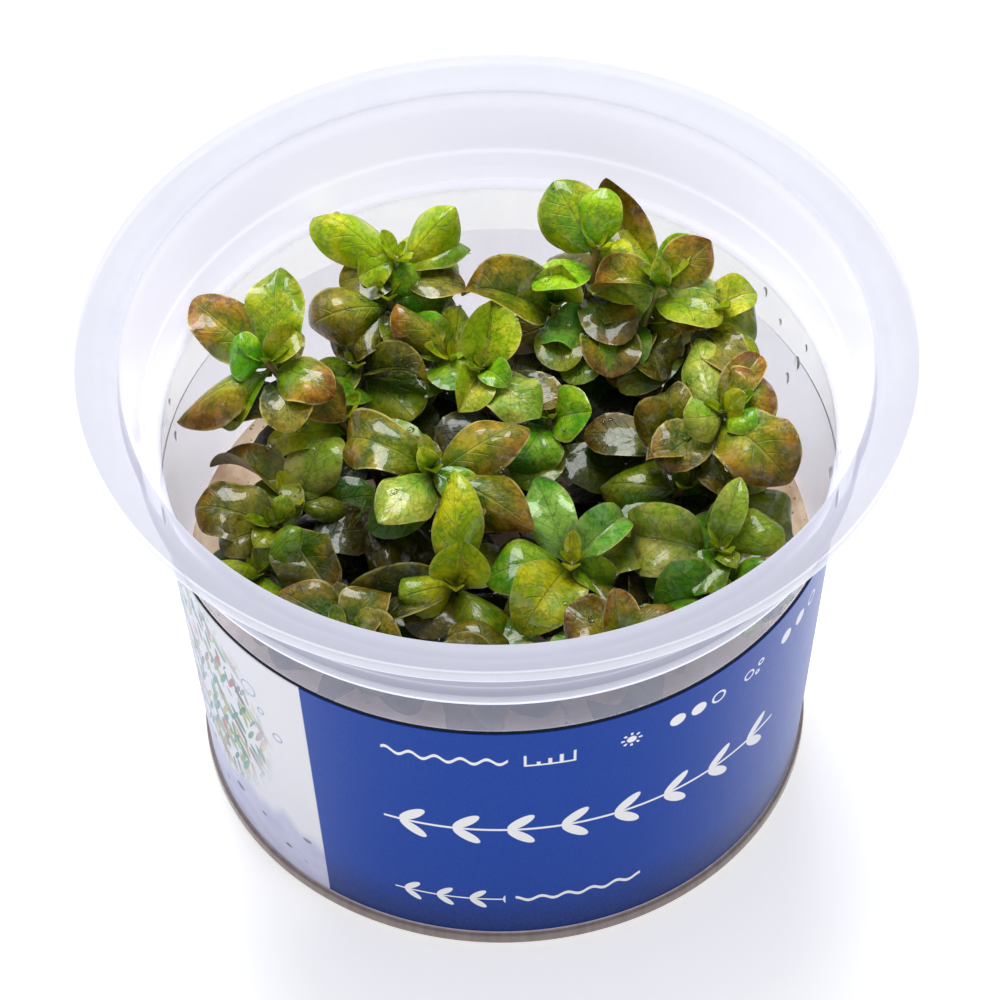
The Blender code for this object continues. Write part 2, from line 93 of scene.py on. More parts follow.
# %% A socket that takes part in formulas
class Wire:
    """An output of a node. Operators on it add Math nodes and give the next wire."""

    def __init__(self, graph, socket):
        self.graph, self.socket = graph, socket

    def maths(self, operation, *others, clamp=False):
        settings = {"operation": operation, "use_clamp": clamp}
        return self.graph.add("ShaderNodeMath", settings, dict(enumerate((self,) + others)))

    def __rsub__(self, other):
        return self * -1 + other

    def __abs__(self):
        return self.maths("ABSOLUTE")

    def root(self):
        return self.maths("SQRT")

    def at_least(self, other):
        return self.maths("MAXIMUM", other)

    def also(self, name):
        """Another output of the node that this wire comes from."""
        return Wire(self.graph, self.socket.node.outputs[name])

    def ramp(self, low, high, to_low=0.0, to_high=1.0):
        """A smooth step: to_low below low, to_high above high."""
        values = {"Value": self, 1: low, 2: high, 3: to_low, 4: to_high}
        return self.graph.add("ShaderNodeMapRange", {"interpolation_type": "SMOOTHSTEP"}, values)

    def between(self, low, high, soft=0.08):
        """1 from low to high and 0 beyond, with soft ends."""
        return self.ramp(low - soft, low + soft) * self.ramp(high + soft, high - soft)


for sign, operation in (("add", "ADD"), ("radd", "ADD"), ("sub", "SUBTRACT"), ("mul", "MULTIPLY"),
                        ("rmul", "MULTIPLY"), ("truediv", "DIVIDE"), ("gt", "GREATER_THAN"),
                        ("lt", "LESS_THAN")):
    setattr(Wire, f"__{sign}__", lambda wire, other, operation=operation: wire.maths(operation, other))


class Graph:
    """A node tree under construction, for a finish or for a shape."""

    def __init__(self, tree):
        self.tree = tree
        self.tree.nodes.clear()

    def add(self, kind, settings=None, values=None, out=0):
        """Add a node: its settings first, then its inputs; returns one of its outputs."""
        node = self.tree.nodes.new(kind)
        for name, value in (settings or {}).items():
            if name == "stops":
                self.set_stops(node.color_ramp, value)
            else:
                setattr(node, name, value)
        for name, value in (values or {}).items():
            if isinstance(value, Wire):
                self.tree.links.new(value.socket, node.inputs[name])
            else:
                node.inputs[name].default_value = value
        return Wire(self, node.outputs[out]) if len(node.outputs) else node

    def coordinates(self, source, count=3):
        """The first `count` components of a vector."""
        node = self.add("ShaderNodeSeparateXYZ", {}, {0: source})
        return [Wire(self, node.socket.node.outputs[k]) for k in range(count)]

    @staticmethod
    def set_stops(ramp, stops):
        while len(ramp.elements) < len(stops):
            ramp.elements.new(1.0)
        for element, (position, colour) in zip(ramp.elements, stops):
            element.position, element.color = position, colour


def srgb(red, green, blue):
    """A colour as a screen shows it, 0 to 255, turned into the light it stands for."""
    def channel(value):
        value /= 255
        return value / 12.92 if value <= 0.04045 else ((value + 0.055) / 1.055) ** 2.4
    return (channel(red), channel(green), channel(blue), 1.0)


# %% The nodes that every finish here starts from
class Finish(Graph):
    """A material in the making."""

    def __init__(self, name):
        self.material = bpy.data.materials.new(name)
        self.material.use_nodes = True
        self.material.cycles.emission_sampling = "NONE"     # its faint glow is no lamp
        super().__init__(self.material.node_tree)
        self.place = self.add("ShaderNodeTexCoord", out="Object")

    def colour(self, factor, first, second, mode="MIX"):
        settings = {"data_type": "RGBA", "blend_type": mode, "clamp_factor": True}
        return self.add("ShaderNodeMix", settings, {0: factor, 6: first, 7: second}, out=2)

    def layered(self, ground, *layers):
        """A ground colour with layers over it, each a mask and a colour."""
        for mask, over in layers:
            ground = self.colour(mask, ground, over)
        return ground

    def times(self, first, second, share=1.0):
        """Two colours multiplied: the second tints the first, as strongly as share says."""
        return self.colour(share, first, second, "MULTIPLY")

    def unwrapped(self):
        """The two coordinates of the mesh's own map."""
        return self.coordinates(self.add("ShaderNodeUVMap", {"uv_map": "UVMap"}), 2)

    def noise(self, grain, detail=2.0, roughness=0.5):
        """Noise whose patches are about `grain` millimetres wide."""
        values = {"Vector": self.place, "Scale": 1 / (grain * MM), "Detail": detail, "Roughness": roughness}
        return self.add("ShaderNodeTexNoise", {}, values)

    def facing(self, low, high):
        """The share by which a surface turns away from the eye, as a smooth step."""
        return self.add("ShaderNodeLayerWeight", {}, {"Blend": 0.5}, out="Facing").ramp(low, high)

    def voronoi(self, place):
        return self.add("ShaderNodeTexVoronoi", {"feature": "F1"}, {"Vector": place, "Scale": 1.0})

    def trait(self, name, out="Fac"):
        """A value that the mesh carries, such as a leaf's own tint."""
        return self.add("ShaderNodeAttribute", {"attribute_name": name}, {}, out=out)

    def bump(self, height, strength, depth):
        """Relief from a height wire; depth in mm."""
        values = {"Height": height, "Strength": strength, "Distance": depth * MM}
        return self.add("ShaderNodeBump", {}, values)

    def principled(self, **inputs):
        values = {name.replace("_", " ").title().replace("Ior", "IOR"): v for name, v in inputs.items()}
        return self.add("ShaderNodeBsdfPrincipled", {}, values)

    def done(self, shader):
        self.add("ShaderNodeOutputMaterial", {}, {"Surface": shader})
        return self.material


# %% [markdown]
# ## Turned pieces
# Cup and gel are round, so one function turns an outline about the upright axis. The cup's corners are
# rounded first, because moulded plastic has no sharp edges and its highlights sit on them.

# %% Turning an outline into a closed mesh
def in_scene(name, data):
    """An object for a mesh, a lamp or a camera, linked to the scene."""
    thing = bpy.data.objects.new(name, data)
    bpy.context.collection.objects.link(thing)
    return thing


def meshed(name, points, faces, materials=()):
    """A mesh object whose origin stays at the frame's origin; points in metres."""
    mesh = bpy.data.meshes.new(name)
    mesh.from_pydata(points, [], faces)
    for material in materials:
        mesh.materials.append(material)
    return in_scene(name, mesh)


def new_piece(name, points, faces, materials):
    """A smooth mesh object; points in mm."""
    piece = meshed(name, [Vector(p) * MM for p in points], faces, materials)
    piece.data.shade_smooth()
    return piece


def circle(radius, z, count, x=0.0, y=0.0):
    """Points round an upright axis through x, y."""
    angles = (math.tau * k / count for k in range(count))
    return [(x + radius * math.cos(a), y + radius * math.sin(a), z) for a in angles]


def bands(count, starts):
    """The faces between rings of `count` points; each ring begins at one of the starts."""
    return [(low + k, low + (k + 1) % count, high + (k + 1) % count, high + k)
            for low, high in zip(starts, starts[1:]) for k in range(count)]


def bow(start, control, end, u):
    """A point, or a row of points, on the curve from start to end that leans toward control."""
    return start * (1 - u) ** 2 + control * 2 * u * (1 - u) + end * u ** 2


def rounded(corners, steps=5):
    """Replace every (radius, height, fillet) corner by an arc of that size."""
    outline = []
    for k, (x, z, fillet) in enumerate(corners):
        here = Vector((x, z))
        if fillet == 0 or k in (0, len(corners) - 1):
            outline.append(here)
            continue
        before, after = Vector(corners[k - 1][:2]) - here, Vector(corners[k + 1][:2]) - here
        reach = min(fillet, 0.45 * before.length, 0.45 * after.length)     # so that two arcs never meet
        start, end = here + before.normalized() * reach, here + after.normalized() * reach
        outline += [bow(start, here, end, step / steps) for step in range(steps + 1)]
    return outline


def turned(name, outline, materials, segments=192):
    """Turn an outline that starts and ends on the axis; the first and last point become poles."""
    points = [(0, 0, outline[0][1])]
    for radius, z in outline[1:-1]:
        points += circle(radius, z, segments)
    starts, top = range(1, len(points), segments), len(points)
    points.append((0, 0, outline[-1][1]))
    faces = bands(segments, starts)
    for k in range(segments):
        after = (k + 1) % segments
        faces += [(0, 1 + after, 1 + k), (starts[-1] + k, starts[-1] + after, top)]
    return new_piece(name, points, faces, materials)


# %% [markdown]
# ## The cup
# The real cup is one moulding of milky polypropylene. Light passes it and scatters in it, most in the
# thick flange and collar, least in the wall. The finish therefore lets alpha change with height: a milky
# skin over what lies behind it. A faint painted glow stands for the light that the collar scatters, and
# painted highlights brighten the lip and the bead. That is simpler than true refraction and stays calm in
# every view.

# %% The finish of the cup
STEP_Z = 55.9            # the faint line round the outside of the collar
WALL_MILK = 0.34         # how much of what lies behind it the bare wall hides
COLLAR_MILK, SKIN_MILK, BEAD_MILK, EDGE_MILK, FOOT_MILK = 0.24, 0.34, 0.4, 0.3, 0.75    # and what adds to it


def milky_plastic():
    f = Finish("milky_plastic")
    x, y, z = f.coordinates(f.place)
    height, radius = z / MM, (x * x + y * y).root() / MM
    collar = height.ramp(LEDGE_Z - 0.9, LEDGE_Z + 0.3)
    flange = height.ramp(MOUTH_Z - 1.0, MOUTH_Z + 0.2)
    lip = radius.ramp(RIM_RADIUS - 0.5, RIM_RADIUS - 0.15)
    lean = (MOUTH_RADIUS - LEDGE_RADIUS) / (MOUTH_Z - LEDGE_Z)
    inner = (radius - (height - LEDGE_Z) * lean - LEDGE_RADIUS).ramp(0.7, 0.4)
    angle = y.maths("ARCTAN2", x)
    around = f.add("ShaderNodeCombineXYZ", {}, {0: angle * 12, 1: height * 0.04})
    streaks = f.add("ShaderNodeTexNoise", {}, {"Vector": around, "Scale": 2.2, "Detail": 2.0})
    cloud = f.noise(9, 1)
    foot = height.ramp(2.6, 1.4)
    slant = f.facing(0.6, 1.05)
    thick_edge = slant * (1 - collar) * (1 - foot)
    corner_line = height.ramp(LEDGE_Z - 1.3, LEDGE_Z - 0.7) * height.ramp(LEDGE_Z + 0.2, LEDGE_Z - 0.2)
    corner_line = corner_line * (0.15 + slant)
    bead = radius.ramp(BEAD_RADIUS - 0.9, BEAD_RADIUS - 0.3) * height.ramp(LEDGE_Z + 1.15, LEDGE_Z + 0.75)
    collar_inside = inner * collar * height.ramp(MOUTH_Z + 0.3, MOUTH_Z - 0.3)
    # painted glow: stronger toward the rear, which the lamp behind leaves in shade
    shaded_side = (y / MM).ramp(-36, 6, 0.55, 1.0)         # the lamp stands behind, so the rear is in shade
    below_flange = height.ramp(MOUTH_Z - 2.4, MOUTH_Z - 3.4)
    collar_outside = (1 - inner) * collar * (1 - bead) * below_flange
    step_line = height.between(STEP_Z - 0.225, STEP_Z + 0.225, 0.125)
    alpha = WALL_MILK + collar * COLLAR_MILK + foot * FOOT_MILK + bead * BEAD_MILK
    alpha = alpha + (streaks - 0.5) * 0.03 + (cloud - 0.5) * 0.05
    alpha = alpha + (thick_edge + corner_line) * EDGE_MILK + (collar_inside + collar_outside) * SKIN_MILK
    outside = f.colour(step_line * 0.7, srgb(177, 178, 199), srgb(208, 212, 228))
    around_foot = f.colour(streaks.ramp(0.3, 0.7), srgb(142, 127, 124), srgb(158, 143, 140))
    # painted highlights: the lip and the bead are brightened
    colour = f.layered(srgb(176, 177, 197), (collar, srgb(208, 208, 222)), (collar_outside, outside),
                       (flange, srgb(178, 180, 194)), (bead, srgb(236, 240, 250)),
                       (thick_edge.at_least(corner_line), srgb(112, 118, 150)),
                       (lip, srgb(236, 238, 246)), (foot, around_foot))
    rough = 0.18 + flange * 0.5 + collar_outside * 0.2
    wavy = f.bump(f.noise(5, 1), 0.12, 0.3)
    # painted glow, no lamp: in the collar, and as painted highlights on the lip and the bead
    lit = collar_inside * shaded_side * height.ramp(58, 56, 0.9, 1.0)
    lit = lit.at_least(lip * 0.42).at_least(bead * 0.4)
    glow = f.colour(lit, srgb(0, 0, 0), srgb(228, 228, 240))
    return f.done(f.principled(base_color=colour, roughness=rough, alpha=alpha, normal=wavy, ior=1.49,
                               emission_color=glow, emission_strength=0.8))


# %% The form of the cup
FOOT_RADIUS, FOOT_TOP = 38.0, 1.6        # the sleeve ends just above the foot
LIP_CORNER = HEIGHT + 0.098              # the rounding brings the lip's top down to the full height

CUP_CORNERS = [
    (0, 0, 0), (FOOT_RADIUS - 3.5, 0, 0.3), (FOOT_RADIUS - 2.6, 0.25, 0.3), (FOOT_RADIUS - 1.9, 0, 0.3),
    (FOOT_RADIUS, 0, 0.35), (FOOT_RADIUS, FOOT_TOP, 0.35), (wall_outside(FOOT_TOP), FOOT_TOP + 0.1, 0),
    (WALL_TOP_RADIUS, WALL_TOP_Z, 0.25), (BEAD_RADIUS - 0.3, LEDGE_Z - 0.3, 0.5),
    (BEAD_RADIUS, LEDGE_Z + 0.55, 0.25), (BEAD_RADIUS - 0.6, LEDGE_Z + 0.75, 0.2),
    (MOUTH_RADIUS + 0.75, MOUTH_Z - 1.9, 0.8), (MOUTH_RADIUS + 1.9, MOUTH_Z - 0.95, 0.8),
    (RIM_RADIUS - 1.2, HEIGHT - 1.8, 0.3), (RIM_RADIUS, HEIGHT - 1.65, 0.4), (RIM_RADIUS, LIP_CORNER, 0.5),
    (MOUTH_RADIUS + 0.2, MOUTH_Z + 0.1, 0.5), (MOUTH_RADIUS, MOUTH_Z - 0.7, 0.4),
    (CREASE_RADIUS + 0.15, CREASE_Z + 0.4, 0.4), (CREASE_RADIUS - 0.1, CREASE_Z, 0.4),
    (LEDGE_RADIUS, LEDGE_Z, 0.35), (wall_outside(LEDGE_Z - 0.5) - WALL, LEDGE_Z - 0.5, 0.3),
    (wall_outside(FLOOR) - WALL, FLOOR, 1.4), (0, FLOOR, 0),
]
cup = turned("cup_moulding", rounded(CUP_CORNERS), [milky_plastic()])
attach(cup, "root")
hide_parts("cup")
print("cup:", len(cup.data.polygons), "faces")

# %% [markdown]
# ## The growing gel
# The gel sets in the cup, so it fits the wall, creeps up it by a hair, and its top dips and swells where
# roots push. It is cloudy and wet.

# %% The finish of the gel
def cloudy_gel():
    f = Finish("cloudy_gel")
    cloud = f.noise(6, 4, 0.6)
    specks = f.noise(0.7, 2).ramp(0.66, 0.72)
    height = f.coordinates(f.place)[2] / MM
    stained = f.colour(cloud.ramp(0.35, 0.7), srgb(248, 222, 190), srgb(206, 170, 136))
    deeper = height.ramp(GEL_TOP - 1.5, GEL_TOP - 4.0)
    colour = f.layered(stained, (deeper, srgb(216, 186, 156)), (specks * 0.7, srgb(92, 66, 46)))
    relief = f.bump(f.noise(2.5, 3), 0.4, 0.5)
    return f.done(f.principled(base_color=colour, roughness=0.16 + cloud * 0.25, normal=relief, ior=1.34))


# %% The form of the gel
CREEP, SWELL = 0.7, 0.3                  # how far the gel climbs the wall, and how far its top waves


def make_gel():
    low, flat_top = GEL_BOX[0][2], GEL_TOP - CREEP
    side = [(wall_outside(z) - WALL - GAP, z) for z in np.linspace(low + 1.0, GEL_TOP - 0.05, 12)]
    across = [(radius, flat_top) for radius in np.linspace(side[-1][0] - 0.8, 0.0, 26)]
    outline = [(0, low), (side[0][0] - 1.0, low)] + side + across
    gel = turned("growing_gel", outline, [cloudy_gel()], 96)
    for vertex in gel.data.vertices:
        x, y, z = vertex.co / MM
        radius = math.hypot(x, y)
        if z > flat_top - 0.1 and radius < side[-1][0] - 0.4:
            swell = math.sin(x * 0.31 + 1.2) * math.sin(y * 0.27) + 0.5 * math.sin(x * 0.9 + y * 0.7)
            vertex.co.z += swell * SWELL * MM
    return gel


gel = make_gel()
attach(gel, "root")
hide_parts("medium")
print("gel:", len(gel.data.polygons), "faces")

# %% [markdown]
# ## The printed sleeve
# The sleeve is a thin film wrapped round the wall, with a seam at the back. Its print is worked out from
# the sleeve's own coordinates: millimetres round the wall from the middle of the front, and height. It has
# a blue field with a sprig ornament, plain signs and rating dots, and a pale field with a leafy wash.

# %% The print as a formula
SLEEVE_MIDDLE_RADIUS = 39.3
AROUND = math.tau * SLEEVE_MIDDLE_RADIUS      # mm once round
PALE_FIELD = (-74.0, -24.6)                   # mm round from the middle of the front
SPRIGS = (                                    # a stem's start, end and height, and the sprig's size
    (-15.0, 37.6, 24.4, 1.25), (-14.5, -0.5, 9.2, 0.8), (62.0, 114.4, 24.4, 1.25),
    (-118.0, -84.9, 24.4, 1.25))
WAVES = ((0.8, 16.9, 9.2, 0.35, 3.22), (-14.5, 0.2, 38.7, 0.5, 2.94))
BUBBLES = ((31.2, 38.9, 0.85), (33.2, 39.6, 0.55), (32.7, 38.1, 0.4))
DOTS_Z = 39.2


def turned_by(degrees, a, b):
    """Two coordinates, measured on axes that are turned by this angle."""
    cosine, sine = math.cos(math.radians(degrees)), math.sin(math.radians(degrees))
    return a * cosine + b * sine, b * cosine - a * sine


class Print(Finish):
    """A finish drawn in millimetres: x round the sleeve, z up."""

    def __init__(self, name):
        super().__init__(name)
        u, v = self.unwrapped()
        self.x, self.z = (u - 0.5) * AROUND, v * (SLEEVE_TOP - SLEEVE_BOTTOM) + SLEEVE_BOTTOM

    def flat(self, x_scale, z_scale):
        """A place on the print for noise, stretched as asked."""
        return self.add("ShaderNodeCombineXYZ", {}, {0: self.x * x_scale, 1: self.z * z_scale})

    def flat_noise(self, x_scale, z_scale, detail=2.0):
        return self.add("ShaderNodeTexNoise", {}, {"Vector": self.flat(x_scale, z_scale), "Scale": 1.0,
                                                   "Detail": detail})

    def distance(self, x, z):
        across, up = self.x - x, self.z - z
        return (across * across + up * up).root()

    def dot(self, x, z, radius):
        return self.distance(x, z).ramp(radius + 0.08, radius - 0.08)

    def ring(self, x, z, radius, line):
        return self.dot(x, z, radius) * (1 - self.dot(x, z, radius - line))

    def wave(self, start, end, height, swing, length):
        """A wavy line; swing is half its height, length that of one wave."""
        middle = (self.x * (math.tau / length)).maths("SINE") * swing + height
        return abs(self.z - middle).ramp(0.34, 0.24) * self.x.between(start, end)

    def tank(self, left, right, low, high):
        """A sign for a tank: an open box with three plants that grow in height."""
        box = self.x.between(left, right) * self.z.between(low, high, 0.05)
        hollow = self.x.between(left + 0.3, right - 0.3) * (self.z > low + 0.3)
        sign = box * (1 - hollow)
        for k in range(3):
            stem = left + (right - left) * (0.28 + 0.22 * k)
            plant = self.x.between(stem - 0.22, stem + 0.22) * self.z.between(low, low + 0.8 + 0.5 * k)
            sign = sign.at_least(plant)
        return sign

    def sun(self, x, z):
        """A sign for light: a disc with eight rays."""
        angle = (self.z - z).maths("ARCTAN2", self.x - x)
        rays = (angle * 8).maths("COSINE").ramp(0.2, 0.6) * self.distance(x, z).between(0.85, 1.3)
        return self.dot(x, z, 0.6).at_least(rays)

    def dabs(self, slant, across, along, share):
        """Brush dabs, all at one slant in degrees; returns their mask and their random colours."""
        side, up = turned_by(slant, self.x, self.z)
        place = self.add("ShaderNodeCombineXYZ", {}, {0: side / across, 1: up / along, 2: slant})
        cells = self.voronoi(place)
        lot, pick = self.coordinates(cells.also("Color"), 2)
        return cells.ramp(0.46, 0.4) * (lot < share), pick

    def sprig(self, start, end, height, size):
        """A straight twig with pairs of leaves, as an ornament's border has."""
        step = 5.2 * size
        along = ((self.x - start) / step).maths("FRACT") * step - step * 0.3
        away = abs(self.z - height)
        a, b = turned_by(42, along, away)
        a = a - 1.75 * size
        leaf = (a * a / (1.65 * size) ** 2 + b * b / (0.62 * size) ** 2).ramp(1.08, 0.92)
        stem = away.ramp(0.2 * size, 0.12 * size)
        return leaf.at_least(stem) * self.x.between(start, end)


def printed_film():
    f = Print("printed_film")
    speckle = f.noise(0.16, 1)
    # painted shade: the blue darkens toward the foot
    above_foot_shade = f.z.ramp(2, 12)
    blue = f.colour(above_foot_shade, srgb(3, 36, 114), srgb(3, 62, 166))
    blue = f.colour(speckle.ramp(0.35, 0.65) * 0.3, blue, srgb(40, 92, 176))
    signs = [f.sprig(*spot) for spot in SPRIGS] + [f.wave(*spot) for spot in WAVES]
    signs += [f.tank(2.0, 8.0, 37.6, 39.8), f.sun(14.6, 39.0)]
    signs += [f.ring(x, z, size, 0.25) for x, z, size in BUBBLES]
    signs += [f.dot(x, DOTS_Z, 1.05) for x in (20.5, 23.4, 38.3, 41.6)]
    signs += [f.ring(x, DOTS_Z, 1.05, 0.3) for x in (26.3, 44.9)]
    marks = signs[0]
    for sign in signs[1:]:
        marks = marks.at_least(sign)
    field = f.colour(marks, blue, srgb(252, 252, 254))

    pale = f.colour(f.flat_noise(0.08, 0.1), srgb(244, 243, 248), srgb(236, 236, 244))
    hills = (f.z + (f.flat_noise(0.11, 0.02) - 0.5) * 16).ramp(13.5, 10.0)
    wash = f.colour(f.flat_noise(0.25, 0.5, 4), srgb(222, 222, 244), srgb(168, 170, 214))
    pebbles = f.voronoi(f.flat(0.24, 0.42)).ramp(0.26, 0.2)
    pebbles = pebbles * f.z.between(4.5, 10.5, 1.0) * f.flat_noise(0.3, 0.5).ramp(0.45, 0.5)
    pale = f.layered(pale, (hills * 0.85, wash), (pebbles, srgb(52, 58, 92)))
    clump = f.distance(-51, 27).ramp(21, 14) * f.z.ramp(9, 13)
    for slant, across, along, share in ((34, 1.2, 5.2, 0.8), (-28, 1.0, 4.4, 0.7), (8, 0.9, 3.8, 0.6)):
        dab, pick = f.dabs(slant, across, along, share)
        tone = f.add("ShaderNodeValToRGB", {"stops": [
            (0.0, srgb(34, 124, 92)), (0.35, srgb(70, 156, 118)), (0.5, srgb(150, 178, 104)),
            (0.68, srgb(206, 188, 92)), (0.82, srgb(196, 92, 96)), (1.0, srgb(40, 108, 84))]}, {0: pick})
        pale = f.colour((dab * clump * 1.2).maths("MINIMUM", 0.95), pale, tone)
    for x, z, size in ((-33.5, 36.4, 1.3), (-36.2, 34.2, 0.8), (-31.8, 33.4, 0.6), (-29.5, 30, 0.8)):
        pale = f.colour(f.ring(x, z, size, 0.22) * 0.8, pale, srgb(120, 150, 196))

    sheen, edge, overlap = f.facing(0.5, 1.0), f.z > SLEEVE_TOP - 0.16, abs(f.x) > AROUND / 2 - 0.12
    colour = f.layered(field, (f.x.between(*PALE_FIELD), pale), (sheen * 0.5, srgb(164, 176, 214)),
                       (edge, srgb(18, 20, 30)), (overlap * 0.7, srgb(14, 24, 52)))
    relief = f.bump(f.noise(0.25, 2) + f.noise(3) * 0.4, 0.08, 0.08)
    rough = 0.36 + (f.noise(1.2, 3) - 0.5) * 0.12
    return f.done(f.principled(base_color=colour, roughness=rough, normal=relief, ior=1.22))


def white_backing():
    """The bare inner side of the film, with a painted glow for the light that reaches it through the film."""
    f = Finish("white_backing")
    colour = f.colour(f.noise(4, 3), srgb(236, 236, 240), srgb(248, 248, 250))
    relief = f.bump(f.noise(0.3, 2), 0.06, 0.08)
    # painted light: the emission makes the backing glow, though it is no lamp
    return f.done(f.principled(base_color=colour, roughness=0.5, normal=relief,
                               emission_color=srgb(240, 240, 242), emission_strength=1.36))


# %% The form of the sleeve
def make_sleeve(segments=240, rows=12):
    """A thin cone that closes in an overlap at the back: outer skin, inner skin and the two rims."""
    skins = (SLEEVE_AIR + SLEEVE_THICK, SLEEVE_AIR)
    heights = np.append(np.linspace(SLEEVE_BOTTOM, SLEEVE_TOP - 0.4, rows), SLEEVE_TOP)
    shares = (heights - SLEEVE_BOTTOM) / (SLEEVE_TOP - SLEEVE_BOTTOM)
    points = []
    for k in range(segments):
        turn = math.tau * k / segments                    # from the back, clockwise from above
        for row in range(rows + 1):
            z = heights[row]
            for extra in skins:
                rim = row == rows and extra > SLEEVE_AIR                  # the upper rim slants outward
                radius = wall_outside(z) + extra - 0.2 * rim
                points.append((-radius * math.sin(turn), radius * math.cos(turn), z - 0.3 * rim))
    faces, uvs, backing = [], [], []

    def panel(corners, inner):
        """One face; corners are (step round, row, skin)."""
        faces.append([2 * (k % segments * (rows + 1) + row) + skin for k, row, skin in corners])
        uvs.extend((k / segments, shares[row]) for k, row, skin in corners)
        backing.append(inner)

    for k in range(segments):
        for row in range(rows):
            quad = [(k, row), (k + 1, row), (k + 1, row + 1), (k, row + 1)]
            panel([q + (0,) for q in quad], False)
            panel([q + (1,) for q in reversed(quad)], True)
        panel([(k, rows, 0), (k + 1, rows, 0), (k + 1, rows, 1), (k, rows, 1)], False)
        panel([(k + 1, 0, 0), (k, 0, 0), (k, 0, 1), (k + 1, 0, 1)], True)
    sleeve = new_piece("printed_wrap", points, faces, [printed_film(), white_backing()])
    sleeve.data.polygons.foreach_set("material_index", backing)
    layer = sleeve.data.uv_layers.new(name="UVMap")
    layer.data.foreach_set("uv", np.array(uvs).ravel())
    sleeve.data.set_sharp_from_angle(angle=math.radians(40))
    return sleeve


sleeve = make_sleeve()
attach(sleeve, "root")
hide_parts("sleeve")
print("sleeve:", len(sleeve.data.polygons), "faces")

# %% [markdown]
# ## Where the shoots stand
# The plant can't be designed by a rule: its charm is its disorder. So every shoot was read off the
# picture: the pixel of its crown with an estimated height, and for each leaf the pixel of its
# tip. A camera of the picture's own kind turns a pixel and a height into a place.

# %% The picture's camera
FOCAL_PX, CENTRE_PX = 5000.0, 500.0      # in pixels of the 1000 x 1000 frame
DISTANCE = 587.4                         # camera to the centre of the mouth
ELEVATION = math.radians(46.67)
TILT = math.radians(48.44)
ROLL = math.radians(-1.34)
EYE = Vector((0, -DISTANCE * math.cos(ELEVATION), HEIGHT + DISTANCE * math.sin(ELEVATION)))
BACK = Vector((0, -math.cos(TILT), math.sin(TILT)))
LEVEL_UP = BACK.cross(Vector((1, 0, 0)))
RIGHT = Vector((math.cos(ROLL), 0, 0)) + LEVEL_UP * math.sin(ROLL)
UP = LEVEL_UP * math.cos(ROLL) - Vector((math.sin(ROLL), 0, 0))
TO_CAMERA = Vector((0, -math.cos(ELEVATION), math.sin(ELEVATION)))


def ray_through(pixel_x, pixel_y):
    return RIGHT * (pixel_x - CENTRE_PX) + UP * (CENTRE_PX - pixel_y) - BACK * FOCAL_PX


def seen_at(pixel_x, pixel_y, height):
    """The point at this height that the picture shows at this pixel."""
    ray = ray_through(pixel_x, pixel_y)
    return EYE + ray * ((height - EYE.z) / ray.z)


